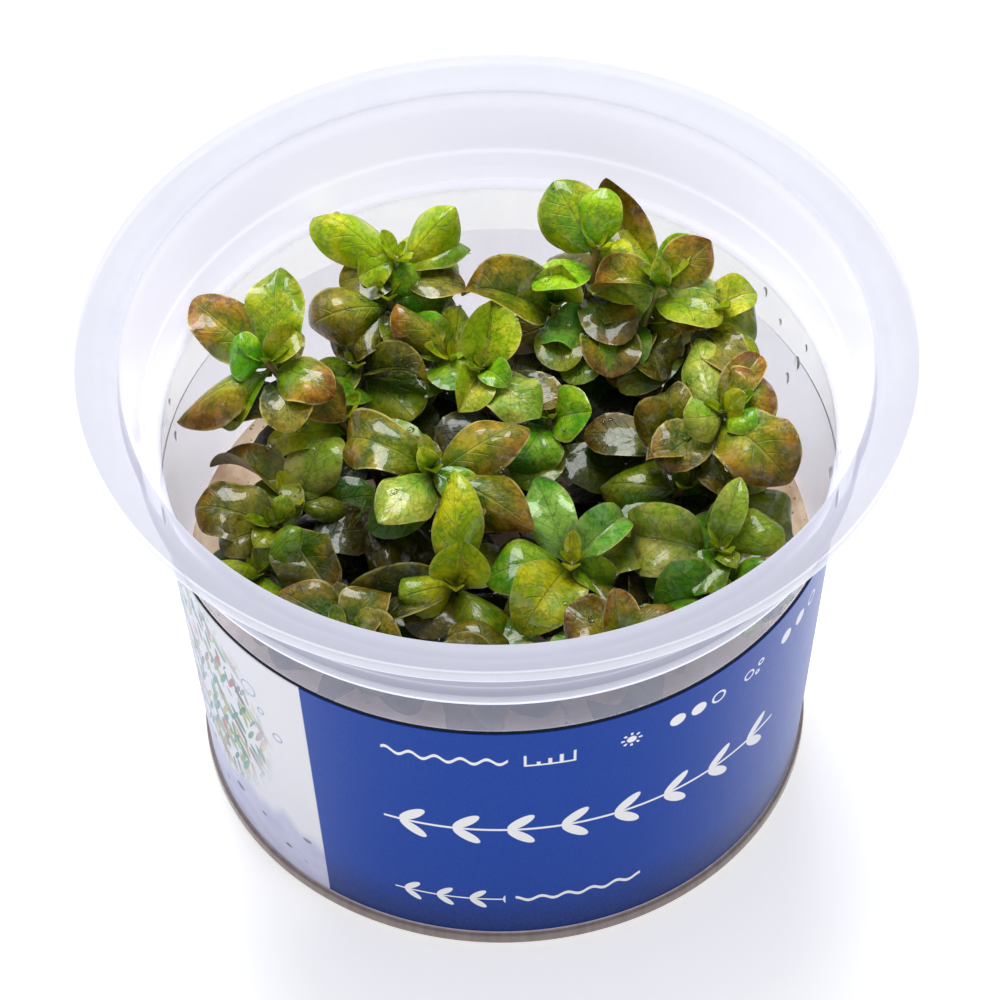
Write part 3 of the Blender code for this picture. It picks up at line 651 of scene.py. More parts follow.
# %% The shoots that the picture shows
# name, crown: pixel x, pixel y, height; then for each leaf its tip: pixel x, pixel y, rise above the
# crown; width; how far the blade faces the camera; how strongly it arches; and its tone
SHOOTS = [
    ("shoot_back_left", (396, 257, 53), [
        (316, 204, 4, 5.6, 0.6, 0.15, "lime"), (455, 206, 5, 5.2, 0.5, 0.1, "lime"),
        (470, 228, 2, 4.0, 0.0, 0.1, "olive"), (456, 256, -1, 6.0, 0.6, 0.2, "lime"),
        (358, 274, -1, 4.0, 0.7, 0.2, "lime"), (424, 292, -4, 4.8, 0.5, 0.3, "green")]),
    ("shoot_arch_left", (388, 294, 50), [
        (298, 330, -1, 6.6, 0.5, 0.5, "bronze"), (334, 362, -4, 5.6, 0.3, 0.3, "dark"),
        (352, 346, -8, 4.6, 0.5, 0.2, "yellow"), (458, 290, -1, 3.8, 0.2, 0.2, "green"),
        (462, 258, -1, 4.2, 0.5, 0.2, "yellow")]),
    ("shoot_left", (266, 360, 53), [
        (184, 305, 3, 5.8, 0.5, 0.1, "brown"), (277, 271, 5, 6.0, 0.6, 0.1, "olive"),
        (225, 352, 2, 5.0, 0.8, 0.3, "green"), (300, 328, 3, 3.4, 0.5, 0.3, "orange"),
        (336, 394, 0, 5.6, 0.4, 0.3, "brown"), (181, 424, -6, 5.2, 0.2, 0.4, "brown"),
        (223, 431, -7, 3.0, 0.2, 0.2, "olive"), (346, 421, -5, 5.0, 0.3, 0.3, "bronze")]),
    ("shoot_mid_left", (356, 362, 46), [
        (414, 420, -1, 7.0, 0.5, 0.2, "olive"), (432, 372, 1, 4.2, 0.3, 0.2, "dark"),
        (330, 400, -3, 4.8, 0.3, 0.3, "olive")]),
    ("shoot_mid_back", (452, 358, 47), [
        (412, 313, 3, 4.6, 0.7, 0.1, "green"), (398, 322, 1, 4.8, 0.3, 0.3, "brown"),
        (392, 385, -3, 4.8, 0.5, 0.3, "dark"), (460, 300, 3, 4.8, 0.6, 0.1, "olive")]),
    ("shoot_middle", (483, 366, 50), [
        (493, 300, 5, 6.0, 0.9, 0.05, "gold"), (458, 412, -1, 4.4, 0.6, 0.2, "gold"),
        (508, 390, 0, 3.2, 0.5, 0.3, "green"), (541, 411, 0, 5.8, 0.6, 0.2, "sheen")]),
    ("shoot_dome", (556, 300, 50), [
        (458, 284, 2, 6.4, 0.6, 0.45, "bronze"), (563, 264, 6, 5.4, 0.8, 0.1, "olive"),
        (546, 268, -3, 3.2, 0.3, 0.2, "lime")]),
    ("shoot_drop", (612, 318, 49), [
        (534, 320, 0, 5.4, 0.5, 0.15, "teal"), (610, 378, -2, 6.4, 0.6, 0.3, "bronze"),
        (566, 344, -2, 4.2, 0.5, 0.2, "sheen")]),
    ("shoot_back", (598, 246, 56), [
        (553, 180, 5, 7.0, 0.8, 0.1, "olive"), (553, 217, 1, 3.4, 0.6, 0.1, "lime"),
        (634, 256, 0, 3.2, 0.6, 0.2, "lime"), (600, 188, 6, 4.8, 0.4, 0.1, "green")]),
    ("shoot_back_right", (662, 278, 54), [
        (594, 281, 1, 5.0, 0.1, 0.4, "brown"), (606, 176, 7, 5.4, 0.6, -0.5, "brown"),
        (712, 242, 4, 5.4, 0.7, 0.1, "brown"), (727, 288, 0, 4.8, 0.4, 0.2, "sheen"),
        (602, 302, -3, 5.0, 0.6, 0.2, "sheen"), (690, 232, 3, 3.4, 0.4, 0.1, "green")]),
    ("shoot_wall_right", (711, 306, 51), [
        (758, 278, 3, 4.8, 0.4, 0.1, "gold"), (760, 325, -1, 6.4, 0.6, 0.1, "olive"),
        (768, 362, -4, 4.2, 0.3, 0.3, "lime"), (724, 254, 3, 2.4, 0.3, 0.1, "yellow")]),
    ("shoot_shade_right", (650, 320, 48), [
        (712, 340, 2, 4.8, 0.4, 0.4, "brown"), (690, 346, 0, 4.6, 0.6, 0.3, "sheen"),
        (660, 382, -2, 6.4, 0.5, 0.3, "dark"), (628, 362, -2, 4.2, 0.4, 0.2, "dark")]),
    ("shoot_right", (727, 411, 50), [
        (697, 419, 3, 4.8, 0.7, 0.1, "sheen"), (768, 378, 3, 6.6, 0.5, 0.1, "brown"),
        (754, 430, 1, 3.8, 0.5, 0.2, "green"), (800, 480, -3, 8.0, 0.5, 0.45, "brown"),
        (692, 334, 1, 4.8, 0.5, 0.1, "sheen"), (760, 350, 3, 3.8, 0.1, 0.2, "brown")]),
    ("shoot_tan", (680, 434, 46), [
        (637, 448, 0, 6.8, 0.6, 0.4, "brown"), (660, 384, 2, 5.4, 0.6, 0.3, "dark")]),
    ("shoot_centre", (430, 465, 50), [
        (331, 437, -1, 6.2, 0.4, 0.5, "bronze"), (379, 524, 0, 6.0, 0.5, 0.3, "sheen"),
        (528, 418, 3, 5.6, 0.6, 0.2, "brown"), (533, 530, -3, 6.6, 0.5, 0.4, "bronze"),
        (478, 506, -3, 4.0, 0.3, 0.2, "green")]),
    ("shoot_emerald", (551, 416, 47), [
        (593, 412, 3, 5.8, 0.6, 0.2, "green"), (514, 476, -2, 6.6, 0.5, 0.4, "green"),
        (552, 378, 4, 5.2, 0.1, 0.4, "red")]),
    ("shoot_front", (456, 584, 45), [
        (400, 598, 1, 5.0, 0.5, 0.2, "lime"), (464, 540, 5, 6.0, 0.9, 0.1, "lime"),
        (443, 475, 6, 5.2, 0.7, 0.3, "lime"), (492, 648, -2, 6.2, 0.5, 0.2, "olive"),
        (338, 618, -4, 5.6, 0.5, 0.3, "dark")]),
    ("shoot_front_right", (572, 562, 45), [
        (481, 576, 0, 6.4, 0.5, 0.35, "green"), (537, 481, 3, 5.0, 0.5, 0.2, "teal"),
        (631, 509, 1, 4.4, 0.4, 0.2, "teal"), (526, 624, 1, 7.2, 0.7, 0.2, "lime"),
        (507, 632, -4, 4.8, 0.4, 0.2, "olive"), (624, 626, -2, 5.0, 0.4, 0.2, "bronze"),
        (604, 594, -3, 4.0, 0.4, 0.2, "green")]),
    ("shoot_pale", (722, 548, 44), [
        (618, 529, 1, 7.4, 0.7, 0.3, "pale"), (782, 516, 2, 5.6, 0.6, 0.15, "lime"),
        (696, 597, -1, 4.6, 0.5, 0.2, "green"), (790, 540, -3, 3.6, 0.3, 0.2, "dark"),
        (742, 481, 5, 3.4, 0.6, 0.2, "pale")]),
    ("shoot_cupped", (736, 494, 44), [
        (700, 444, 3, 4.8, 0.5, 0.5, "dark"), (762, 444, 4, 5.0, 0.3, 0.4, "sheen"),
        (798, 518, -1, 6.0, 0.5, 0.3, "olive"), (714, 542, -2, 2.8, 0.3, 0.2, "green"),
        (800, 528, -4, 3.0, 0.2, 0.2, "brown")]),
    ("shoot_broad", (690, 484, 44), [
        (595, 472, 1, 8.0, 0.6, 0.35, "olive")]),
    ("shoot_slope_left", (290, 500, 43), [
        (328, 423, 5, 6.0, 0.8, 0.3, "pale"), (320, 455, 3, 3.6, 0.5, 0.2, "green"),
        (212, 453, 1, 4.2, -0.1, 0.2, "brown"), (350, 508, -1, 2.6, 0.3, 0.2, "olive")]),
    ("shoot_bright_left", (340, 420, 46), [
        (249, 465, -2, 4.6, 0.5, 0.6, "lime"), (300, 400, 1, 3.8, 0.4, 0.2, "green")]),
    ("shoot_front_left", (272, 524, 45), [
        (192, 501, 1, 6.8, 0.5, 0.15, "bronze"), (333, 596, -2, 6.6, 0.6, 0.25, "bronze"),
        (219, 558, -2, 4.6, 0.5, 0.2, "dark")]),
    ("shoot_dark", (412, 520, 41), [
        (360, 562, -1, 6.0, 0.4, 0.3, "dark"), (350, 502, 1, 4.0, 0.3, 0.2, "dark"),
        (420, 572, -1, 4.2, 0.4, 0.2, "dark")]),
    ("shoot_low_right", (676, 562, 40), [
        (640, 620, -1, 6.0, 0.4, 0.2, "dark"), (640, 562, 0, 4.0, 0.4, 0.2, "dark")]),
]

# %% Shoots behind the near rim, and small leaves that only this scene has
RIM_SHOOTS = [
    ("shoot_rim_left", (-29, -14, 43)), ("shoot_rim_front_left", (-19, -26, 45)),
    ("shoot_rim_front", (-2, -32, 43)), ("shoot_rim_front_right", (14, -29, 45)),
    ("shoot_rim_right", (27, -19, 42)),
]
CROSSED_PAIRS = ((0, 9.5, 0.5, 6.4), (90, 8.0, 2.0, 5.4), (45, 5.5, 3.5, 3.8))   # turn, reach, rise, width
GOLDEN_ANGLE = 137.5
SMALL_LEAVES = {
    "shoot_back_right": [(660, 258, 4, 2.2, 0.4, 0.2, "olive")],
    "shoot_right": [(746, 394, 4, 2.9, 0.4, 0.3, "orange")],
    "shoot_centre": [(420, 450, 3, 2.3, 0.4, 0.3, "olive")],
    "shoot_front_left": [(255, 546, 1, 2.9, 0.5, 0.2, "olive"), (284, 498, 4, 2.6, 0.5, 0.2, "olive")],
    "shoot_pale": [(737, 562, 2, 2.4, 0.4, 0.2, "gold")],
}

# what a tone stands for: the leaf's own colour, how much it blushes bronze, how much light it lets through.
# The sheen, gold, pale and teal colours hold a painted wet sheen, and dark is partly painted shade
TONES = {
    "lime": (srgb(220, 242, 26), 0.05, 0.4), "green": (srgb(112, 176, 14), 0.12, 0.25),
    "olive": (srgb(132, 164, 8), 0.3, 0.2), "bronze": (srgb(70, 110, 4), 0.7, 0.12),
    "brown": (srgb(134, 142, 12), 0.9, 0.15), "dark": (srgb(42, 66, 4), 0.35, 0.06),
    "yellow": (srgb(250, 230, 16), 0.1, 0.4), "orange": (srgb(240, 180, 26), 0.35, 0.35),
    "gold": (srgb(214, 208, 56), 0.25, 0.3), "sheen": (srgb(156, 178, 76), 0.25, 0.15),
    "teal": (srgb(116, 188, 84), 0.05, 0.2), "red": (srgb(112, 34, 14), 1.0, 0.15),
    "pale": (srgb(218, 224, 92), 0.12, 0.3),
}
print(len(SHOOTS) + len(RIM_SHOOTS), "shoots,", sum(len(s[2]) for s in SHOOTS), "leaves read by eye")

# %% [markdown]
# ## Where each leaf came to rest
# In the solids some leaves turn, lift or shrink a little, so that no two touch. The same steps are tried
# here in the same order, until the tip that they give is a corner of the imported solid.

# %% Finding the solid's own leaf
STEM_RADIUS, LEAF_THICK = 0.75, 0.4     # of the solids
FULLNESS = 1.22                         # a rounded leaf is wider than the solid's seven corners
SAME_PLACE = 0.03                       # two points this near are one
YIELDS = sorted(
    ((turn, lift, size) for turn in (0, 6, -6, 12, -12, 20, -20, 30, -30)
     for lift in (0, 1, -1, 2, -2, 3.5, -3.5) for size in (1, 0.88, 0.75, 0.62)),
    key=lambda y: (round(abs(y[0]) / 6 + abs(y[1]) + (1 - y[2]) * 14, 6), y))


def corners_of(node):
    """The corners of a CAD node in mm, with a search tree over them."""
    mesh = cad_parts[node].data
    corners = [vertex.co / MM for vertex in mesh.vertices]
    tree = KDTree(len(corners))
    for k, corner in enumerate(corners):
        tree.insert(corner, k)
    tree.balance()
    return corners, tree


def stem_path(foot, crown, steps=3):
    """A stem leaves the gel upright and leans over toward its crown."""
    control = Vector((foot.x, foot.y, (foot.z + crown.z) / 2))
    return [bow(foot, control, crown, k / steps) for k in range(steps + 1)]


def on_stem(path, down):
    """The point on the stem's axis a length `down` below its crown."""
    for high, low in zip(path[::-1], path[-2::-1]):
        step = (high - low).length
        if down <= step:
            return high.lerp(low, down / step)
        down -= step
    return path[0]


def beside_stem(path, down, tip):
    """Where a leaf that ends at `tip` leaves the stem: just off its axis."""
    node = on_stem(path, down)
    outward = Vector((tip.x - node.x, tip.y - node.y, 0))
    return node + outward.normalized() * 0.45 * STEM_RADIUS


def blade_normal(chord, face):
    along = chord.normalized()
    normal = Vector((0, 0, 1)) * (1 - face) + TO_CAMERA * face
    return (normal - along * normal.dot(along)).normalized()


def leaf_at_rest(path, tip, width, face, tree):
    """Foot, tip and width of the solid's leaf, or None where the solid has none."""
    drop = min(2.0, max(0.3, 0.25 * ((tip - path[-1]).length - 4)))     # long leaves leave the stem lower
    base = beside_stem(path, drop, tip)
    for turn, lift, size in YIELDS:
        end = base + Matrix.Rotation(math.radians(turn), 3, "Z") @ (tip - base) * size + Vector((0, 0, lift))
        half = blade_normal(end - base, face) * LEAF_THICK / 2
        if max(tree.find(end + half)[2], tree.find(end - half)[2]) < SAME_PLACE:
            return base, end, width * size
    return None


# %% [markdown]
# ## A leaf, a stem and a shoot
# A leaf of this plant is a broad oval on a short stalk: folded a little along its midrib, wavy at its
# edge and thicker in the middle. Each leaf is a closed lens: a grid for the upper face and one for the
# lower face that share their outline. The lower face has a finish of its own, because it is paler and redder.

# %% Leaves and stems as plain arrays
UPPER, LOWER, BARK = 0, 1, 2         # material slots of a shoot
BLADE_START = 0.06                   # share of the length that is stalk
STALK_HALF_WIDTH = 0.36
LEAST_HALF_WIDTH = 0.012             # so that the tip's faces keep an area
BLADE_THICK = 0.24
BLUNT_FOOT, BLUNT_TIP = 0.58, 0.44   # the smaller, the rounder that end
TAPER_FROM, HOOK_FROM = 0.86, 0.62   # shares of the length, where a tip narrows and where it bends
RIPPLES = 1.4                        # waves along an edge
DARK_BELOW, LIT_ABOVE = 34.0, 53.0   # painted shade: the lower in the bush, the darker
DEEPEST_LIGHT = 0.06
TINT_LIFT, TINT_LIMIT = 1.8, 1.05    # the tones are named dark and are lifted together


def blade_outline(t, point):
    """Half width along the leaf, 1 at its widest; point = 0 gives a round tip, 1 a pointed one."""
    q = np.clip((t - BLADE_START) / (1 - BLADE_START), 0, 1)
    a, b = BLUNT_FOOT, BLUNT_TIP + 0.26 * point
    widest = a / (a + b)
    profile = q ** a * (1 - q) ** b / (widest ** a * (1 - widest) ** b)
    return profile * (1 - 0.3 * point * np.clip((q - TAPER_FROM) / (1 - TAPER_FROM), 0, 1))


class Foliage:
    """Collects leaves and stems as arrays, and becomes one mesh at the end."""

    def __init__(self):
        self.points, self.uvs, self.traits = [], [], []
        self.faces, self.slots = [], []
        self.count = 0

    def add(self, points, uvs, faces, slots, tone, shade=1.0, young=0.0):
        """shade darkens a leaf deep in the bush; young makes its rim pale."""
        colour, blush, glow = TONES[tone]
        self.points.append(points)
        self.uvs.append(uvs)
        # painted shade: lit is darker the deeper a point lies in the bush
        depth = np.clip((points[:, 2:] - DARK_BELOW) / (LIT_ABOVE - DARK_BELOW), 0, 1)
        lit = shade * (DEEPEST_LIGHT + (1 - DEEPEST_LIGHT) * depth ** 1.7)
        tint = np.minimum(np.array(colour[:3]) * TINT_LIFT, TINT_LIMIT)
        same = np.tile([*tint, blush, young], (len(points), 1))
        self.traits.append(np.hstack([same, glow * np.sqrt(lit), lit]))
        self.faces += [tuple(self.count + v for v in face) for face in faces]
        self.slots += slots
        self.count += len(points)

    def leaf(self, base, tip, width, normal, arch, tone, fold=0.2, curl=0.1, wave=0.08, phase=0.0,
             twist=0.0, hook=0.0, point=0.3, rows=10, cols=6, shade=1.0, young=0.0):
        """fold lifts both halves, curl drops the edges, hook bends the tip down, twist turns the blade."""
        base, tip, normal = np.array(base), np.array(tip), np.array(normal)
        t = 0.5 - 0.5 * np.cos(np.linspace(0, math.pi, rows + 1))[:, None]
        chord = tip - base
        length = np.linalg.norm(chord)
        control = (base + tip) / 2 + normal * arch * length
        centre = bow(base, control, tip, t)
        tangent = (control - base) * (1 - t) + (tip - control) * t
        tangent /= np.linalg.norm(tangent, axis=1, keepdims=True)
        side = np.cross(chord / length, normal)
        rise = np.cross(side, tangent)
        angle = twist * (t - 0.25)
        side, rise = side * np.cos(angle) + rise * np.sin(angle), rise * np.cos(angle) - side * np.sin(angle)
        stalk = STALK_HALF_WIDTH * (t < 0.4) + LEAST_HALF_WIDTH
        half = np.maximum(blade_outline(t, point) * width / 2, stalk)
        s = np.linspace(-1, 1, cols + 1)[None, :]
        ripple = np.sin(math.tau * RIPPLES * t + phase + 1.3 * s) * s ** 2 * wave
        lift = half * (fold * np.abs(s) - curl * s ** 2 + ripple)
        lift = lift - hook * width * np.clip((t - HOOK_FROM) / (1 - HOOK_FROM), 0, 1) ** 2
        top = centre[:, None, :] + side[:, None, :] * (s * half)[:, :, None]
        top = top + rise[:, None, :] * lift[:, :, None]
        thick = BLADE_THICK * np.sqrt(1 - s ** 2) * np.sin(math.pi * np.clip(t, 0, 1)) ** 0.3
        under = top - rise[:, None, :] * thick[:, :, None]
        columns = cols + 1
        upper = np.arange((rows + 1) * columns).reshape(rows + 1, columns)
        lower = upper.copy()
        inner = upper[1:-1, 1:-1]
        lower[1:-1, 1:-1] = upper.size + np.arange(inner.size).reshape(inner.shape)
        points = np.vstack([top.reshape(-1, 3), under[1:-1, 1:-1].reshape(-1, 3)])
        u, v = np.broadcast_to((s + 1) / 2, upper.shape), np.broadcast_to(t, upper.shape)
        uv = np.stack([u, v], axis=2)
        uvs = np.vstack([uv.reshape(-1, 2), uv[1:-1, 1:-1].reshape(-1, 2)])
        faces, slots = [], []
        for grid, slot in ((upper, UPPER), (lower[:, ::-1], LOWER)):
            quads = np.stack([grid[:-1, :-1], grid[:-1, 1:], grid[1:, 1:], grid[1:, :-1]], axis=2)
            faces += [tuple(quad) for quad in quads.reshape(-1, 4).tolist()]
            slots += [slot] * (rows * cols)
        self.add(points, uvs, faces, slots, tone, shade, young)

    def stem(self, path, radii, tone, sides=9):
        points, uvs = [], []
        for k, (centre, radius) in enumerate(zip(path, radii)):
            points += circle(radius, centre.z, sides, centre.x, centre.y)
            uvs += [(side / sides, k / len(path)) for side in range(sides)]
        ends = [tuple(reversed(range(sides))), tuple(range(len(points) - sides, len(points)))]
        faces = bands(sides, range(0, len(points), sides)) + ends
        self.add(np.array(points), np.array(uvs), faces, [BARK] * len(faces), tone)

    def piece(self, name, materials):
        piece = meshed(name, (np.vstack(self.points) * MM).tolist(), self.faces, materials)
        mesh = piece.data
        mesh.polygons.foreach_set("material_index", self.slots)
        corner_vertex = np.empty(len(mesh.loops), dtype=np.int32)
        mesh.loops.foreach_get("vertex_index", corner_vertex)
        layer = mesh.uv_layers.new(name="UVMap")
        layer.data.foreach_set("uv", np.vstack(self.uvs)[corner_vertex].ravel())
        traits = np.vstack(self.traits)
        tint = mesh.attributes.new("tint", "FLOAT_COLOR", "POINT")
        tint.data.foreach_set("color", np.hstack([traits[:, :3], np.ones((len(traits), 1))]).ravel())
        for column, trait in enumerate(("blush", "young", "glow", "lit")):
            values = mesh.attributes.new(trait, "FLOAT", "POINT")
            values.data.foreach_set("value", traits[:, 3 + column].copy())
        mesh.shade_smooth()
        mesh.set_sharp_from_angle(angle=math.radians(80))
        return piece


# %% [markdown]
# ## The finishes of the plant
# A leaf's colour starts from its own tint, which the mesh carries. Over it lie mottling, a bronze blush that
# grows toward the rim and the tip, pale veins and a thin pale margin. A film of water makes its gloss
# uneven: where it is wet the leaf mirrors the sky, elsewhere it only shines.

# %% The leaf's upper face
def veins(across, along):
    """1 on the midrib and the side veins that leave it at a slant, fading to the edge."""
    phase = (along * 7 - across * 2.2).maths("FRACT")
    side_veins = abs(phase - 0.5).ramp(0.09, 0.0) * across.ramp(0.9, 0.2) * 0.5
    return side_veins.at_least(across.ramp(0.06, 0.015))


def on_leaf(f):
    """How far across the blade, 0 on the midrib and 1 at the rim, and how far along it."""
    u, along = f.unwrapped()
    return abs(u * 2 - 1), along


def light_through(f, share, shader):
    """The finish, mixed with one that glows where light falls on the leaf's other side."""
    through = f.add("ShaderNodeBsdfTranslucent", {}, {"Color": srgb(190, 205, 30)})
    return f.done(f.add("ShaderNodeMixShader", {}, {0: share, 1: shader, 2: through}))


def leaf_face():
    f = Finish("leaf_face")
    across, along = on_leaf(f)
    tint, blush, glow, young = f.trait("tint", "Color"), f.trait("blush"), f.trait("glow"), f.trait("young")
    lit = f.trait("lit")
    patch, mottle, fine = f.noise(7, 1), f.noise(2.0, 3, 0.65), f.noise(0.35, 1, 0.6)
    vein = veins(across, along)
    crinkle = abs(f.noise(1.5, 2, 0.6) - 0.5).ramp(0.07, 0.0)
    deep = f.times(tint, srgb(170, 212, 108))
    bright = f.colour(0.3, tint, srgb(228, 228, 20))
    fresh = f.colour((patch + mottle * 0.8 - 0.4).ramp(0.34, 0.66), deep, bright)
    bronzed = blush * (across * 0.5 + along * 1.3 + (patch - 0.5) * 1.2 + (mottle - 0.5) * 0.8 - 0.29)
    bronzed = bronzed.maths("MULTIPLY", 0.95, clamp=True)
    ruddy = f.colour(mottle.ramp(0.35, 0.65), srgb(114, 66, 8), srgb(176, 120, 30))
    # darker toward the stalk: partly painted shade under the bud, partly the deeper green of a leaf's foot
    stalk_green_and_shade = along.ramp(0.4, 0.05) * 0.6
    colour = f.times(f.colour(bronzed, fresh, ruddy), srgb(120, 140, 100), stalk_green_and_shade)
    colour = f.colour(fine.ramp(0.56, 0.72) * 0.25, colour, srgb(186, 184, 70))
    colour = f.times(colour, srgb(104, 110, 80), crinkle * 0.4)
    margin = across.ramp(0.9, 0.97) * (0.45 + young * 0.5) * mottle.ramp(0.3, 0.55)
    colour = f.layered(colour, (vein * 0.24, srgb(196, 192, 104)), (margin, srgb(222, 216, 122)))
    # painted shade, darker deep in the bush
    colour = f.times(colour, lit)
    wet = (f.noise(3.0, 2, 0.55) - vein * 0.04).ramp(0.45, 0.52)
    rough = 0.42 - wet * 0.12 + (fine - 0.5) * 0.12
    height = mottle * 0.9 + patch * 0.8 + wet * 0.12 - vein * 0.45
    shader = f.principled(base_color=colour, roughness=rough, normal=f.bump(height, 0.6, 0.55), ior=1.3,
                          coat_weight=(wet * 0.9 + 0.04) * (lit * 0.4 + 0.6), coat_roughness=0.06)
    return light_through(f, glow * (1 - bronzed * 0.5), shader)


def leaf_back():
    f = Finish("leaf_back")
    across, along = on_leaf(f)
    mottle = f.noise(1.6, 4, 0.6)
    pale = f.colour(0.3, f.trait("tint", "Color"), srgb(140, 150, 80))
    crimson = f.colour(mottle, srgb(104, 40, 30), srgb(140, 84, 50))
    flush = (f.trait("blush") * 0.8 + (mottle - 0.5)).maths("MULTIPLY", 0.9, clamp=True)
    vein = veins(across, along)
    colour = f.layered(pale, (flush, crimson), (vein * 0.4, srgb(196, 170, 120)))
    # painted shade, darker deep in the bush
    colour = f.times(colour, f.trait("lit"))
    relief = f.bump(vein + mottle * 0.3, 0.5, 0.25)
    shader = f.principled(base_color=colour, roughness=0.38 + mottle * 0.15, normal=relief, ior=1.42)
    return light_through(f, f.trait("glow"), shader)


def stem_bark():
    f = Finish("stem_bark")
    streak = f.noise(0.8, 3)
    tinted = f.colour(0.5, f.trait("tint", "Color"), srgb(122, 58, 40))
    colour = f.colour(streak.ramp(0.35, 0.7), tinted, srgb(150, 96, 62))
    # painted shade, darker deep in the bush
    colour = f.times(colour, f.trait("lit"))
    relief = f.bump(streak, 0.4, 0.15)
    return f.done(f.principled(base_color=colour, roughness=0.3 + streak * 0.1, normal=relief, ior=1.42))


PLANT_FINISHES = [leaf_face(), leaf_back(), stem_bark()]
print("plant finishes:", [material.name for material in PLANT_FINISHES])

# %% [markdown]
# ## Growing the shoots
# Every shoot becomes one piece: its stem, the leaves that the solid has, the older pairs further down the
# stem, and a bud of folded young leaves in its crown. The older leaves are darkened by painted shade,
# which is what gives the bush its depth.

# %% One shoot
chance = np.random.default_rng(11)
STEM_FOOT, STEM_TAPER = 0.72, 0.25    # radius in the gel, and what it loses on its way to the crown
OLD_PAIRS = (3.2, 6.5, 10.0, 13.5)    # mm below the crown
OLD_SHADES = (1.0, 0.7, 0.45, 0.35)   # painted shade: the lower the pair, the darker
OLD_LEAF = (9.2, 6.6)                 # length, width
YOUNG_LEAVES = (                      # length, width, rise of the leaves in a bud
    (4.2, 2.3, 0.75), (3.8, 2.1, 0.8), (2.4, 1.3, 1.2), (2.2, 1.2, 1.3))
HABITS = (                            # fold, curl, wave of a leaf: domed, boat-shaped and wavy
    (0.1, 0.95, 0.1), (0.2, 0.8, 0.16), (0.95, 0.1, 0.08), (0.7, 0.3, 0.14), (0.35, 0.3, 0.36),
    (0.3, 0.5, 0.16))


def room_at(z):
    """Inner radius of the cup at a height, wall and collar."""
    if z < LEDGE_Z:
        return wall_outside(z) - WALL
    if z < CREASE_Z:
        return LEDGE_RADIUS + (CREASE_RADIUS - LEDGE_RADIUS) * (z - LEDGE_Z) / (CREASE_Z - LEDGE_Z)
    return CREASE_RADIUS + (MOUTH_RADIUS - CREASE_RADIUS) * (z - CREASE_Z) / (MOUTH_Z - CREASE_Z)


def inside_cup(point, clearance=0.8):
    """The point, drawn in where it would pierce the wall."""
    radius, room = math.hypot(point.x, point.y), room_at(point.z) - clearance
    if radius > room:
        point = Vector((point.x * room / radius, point.y * room / radius, point.z))
    return point


def grow_stem(shoot, path, tone, steps=14):
    radii = [STEM_FOOT - STEM_TAPER * k / steps for k in range(steps + 1)]
    shoot.stem(stem_path(path[0], path[-1], steps), radii, tone)


def grow_old_pairs(shoot, path, number):
    for level, down in enumerate(OLD_PAIRS):
        node = on_stem(path, down)
        if node.z < GEL_TOP + 3:              # too near the gel
            continue
        for half_turn in (0, 180):
            turn = math.radians(GOLDEN_ANGLE * number + 90 * level + half_turn + chance.uniform(-12, 12))
            reach = OLD_LEAF[0] * chance.uniform(0.85, 1.15)
            sink = -0.12 * level + chance.uniform(-0.1, 0.15)
            tip = inside_cup(node + Vector((math.cos(turn), math.sin(turn), sink)) * reach)
            tip.z = max(tip.z, GEL_TOP + 1.0)
            normal = blade_normal(tip - node, 0.1)
            tone = ("green", "dark", "olive", "bronze")[int(chance.integers(4))]
            shoot.leaf(node, tip, OLD_LEAF[1] * chance.uniform(0.85, 1.1), normal, 0.22, tone, fold=0.15,
                       phase=chance.uniform(0, 6), twist=chance.uniform(-0.8, 0.8), shade=OLD_SHADES[level])


def grow_bud(shoot, path, tone):
    """Folded young leaves that stand in the crown."""
    crown = path[-1]
    first = chance.uniform(0, math.tau)
    for k, (length, width, rise) in enumerate(YOUNG_LEAVES):
        turn = first + math.pi * k + (math.pi / 2 if k > 1 else 0)
        away = Vector((math.cos(turn), math.sin(turn), rise)).normalized()
        tip = inside_cup(crown + away * length)
        normal = (Vector((0, 0, 1)) - away * away.z).normalized()
        shoot.leaf(crown - Vector((0, 0, 0.3)), tip, width, normal, -0.12, tone, fold=0.75, curl=0.2,
                   wave=0.03, young=1.0)


def grow_leaf(shoot, path, reading, tree):
    px, py, rise, width, face, arch, tone = reading
    tip = px if isinstance(px, Vector) else seen_at(px, py, path[-1].z + rise)
    found = leaf_at_rest(path, tip, width, face, tree) if tree else None
    if found is None:
        base, end, found_width = beside_stem(path, 1.0, tip), inside_cup(tip, 0.6), width
    else:
        base, end, found_width = found
    normal = blade_normal(end - base, face)
    fold, curl, wave = HABITS[int(chance.integers(len(HABITS)))]
    shoot.leaf(base, end, found_width * FULLNESS, normal, arch, tone, fold=fold * chance.uniform(0.7, 1.2),
               curl=curl * chance.uniform(0.7, 1.2), wave=wave, phase=chance.uniform(0, 6),
               twist=chance.uniform(-0.8, 0.8), hook=chance.uniform(-0.1, 0.42), point=chance.uniform(0.2, 1),
               rows=20, cols=12, young=0.3)
    return found is not None


def rim_readings(crown, number):
    """The leaves of a shoot behind the rim, in crossed pairs."""
    for turn, reach, rise, width in CROSSED_PAIRS:
        for half_turn in (0, 180):
            angle = math.radians(GOLDEN_ANGLE * number + turn + half_turn)
            tip = crown + Vector((math.cos(angle) * reach, math.sin(angle) * reach, rise))
            tone = ("olive", "bronze", "dark", "brown", "green")[(number + turn) % 5]
            yield tip, None, rise, width, 0.2, 0.2, tone


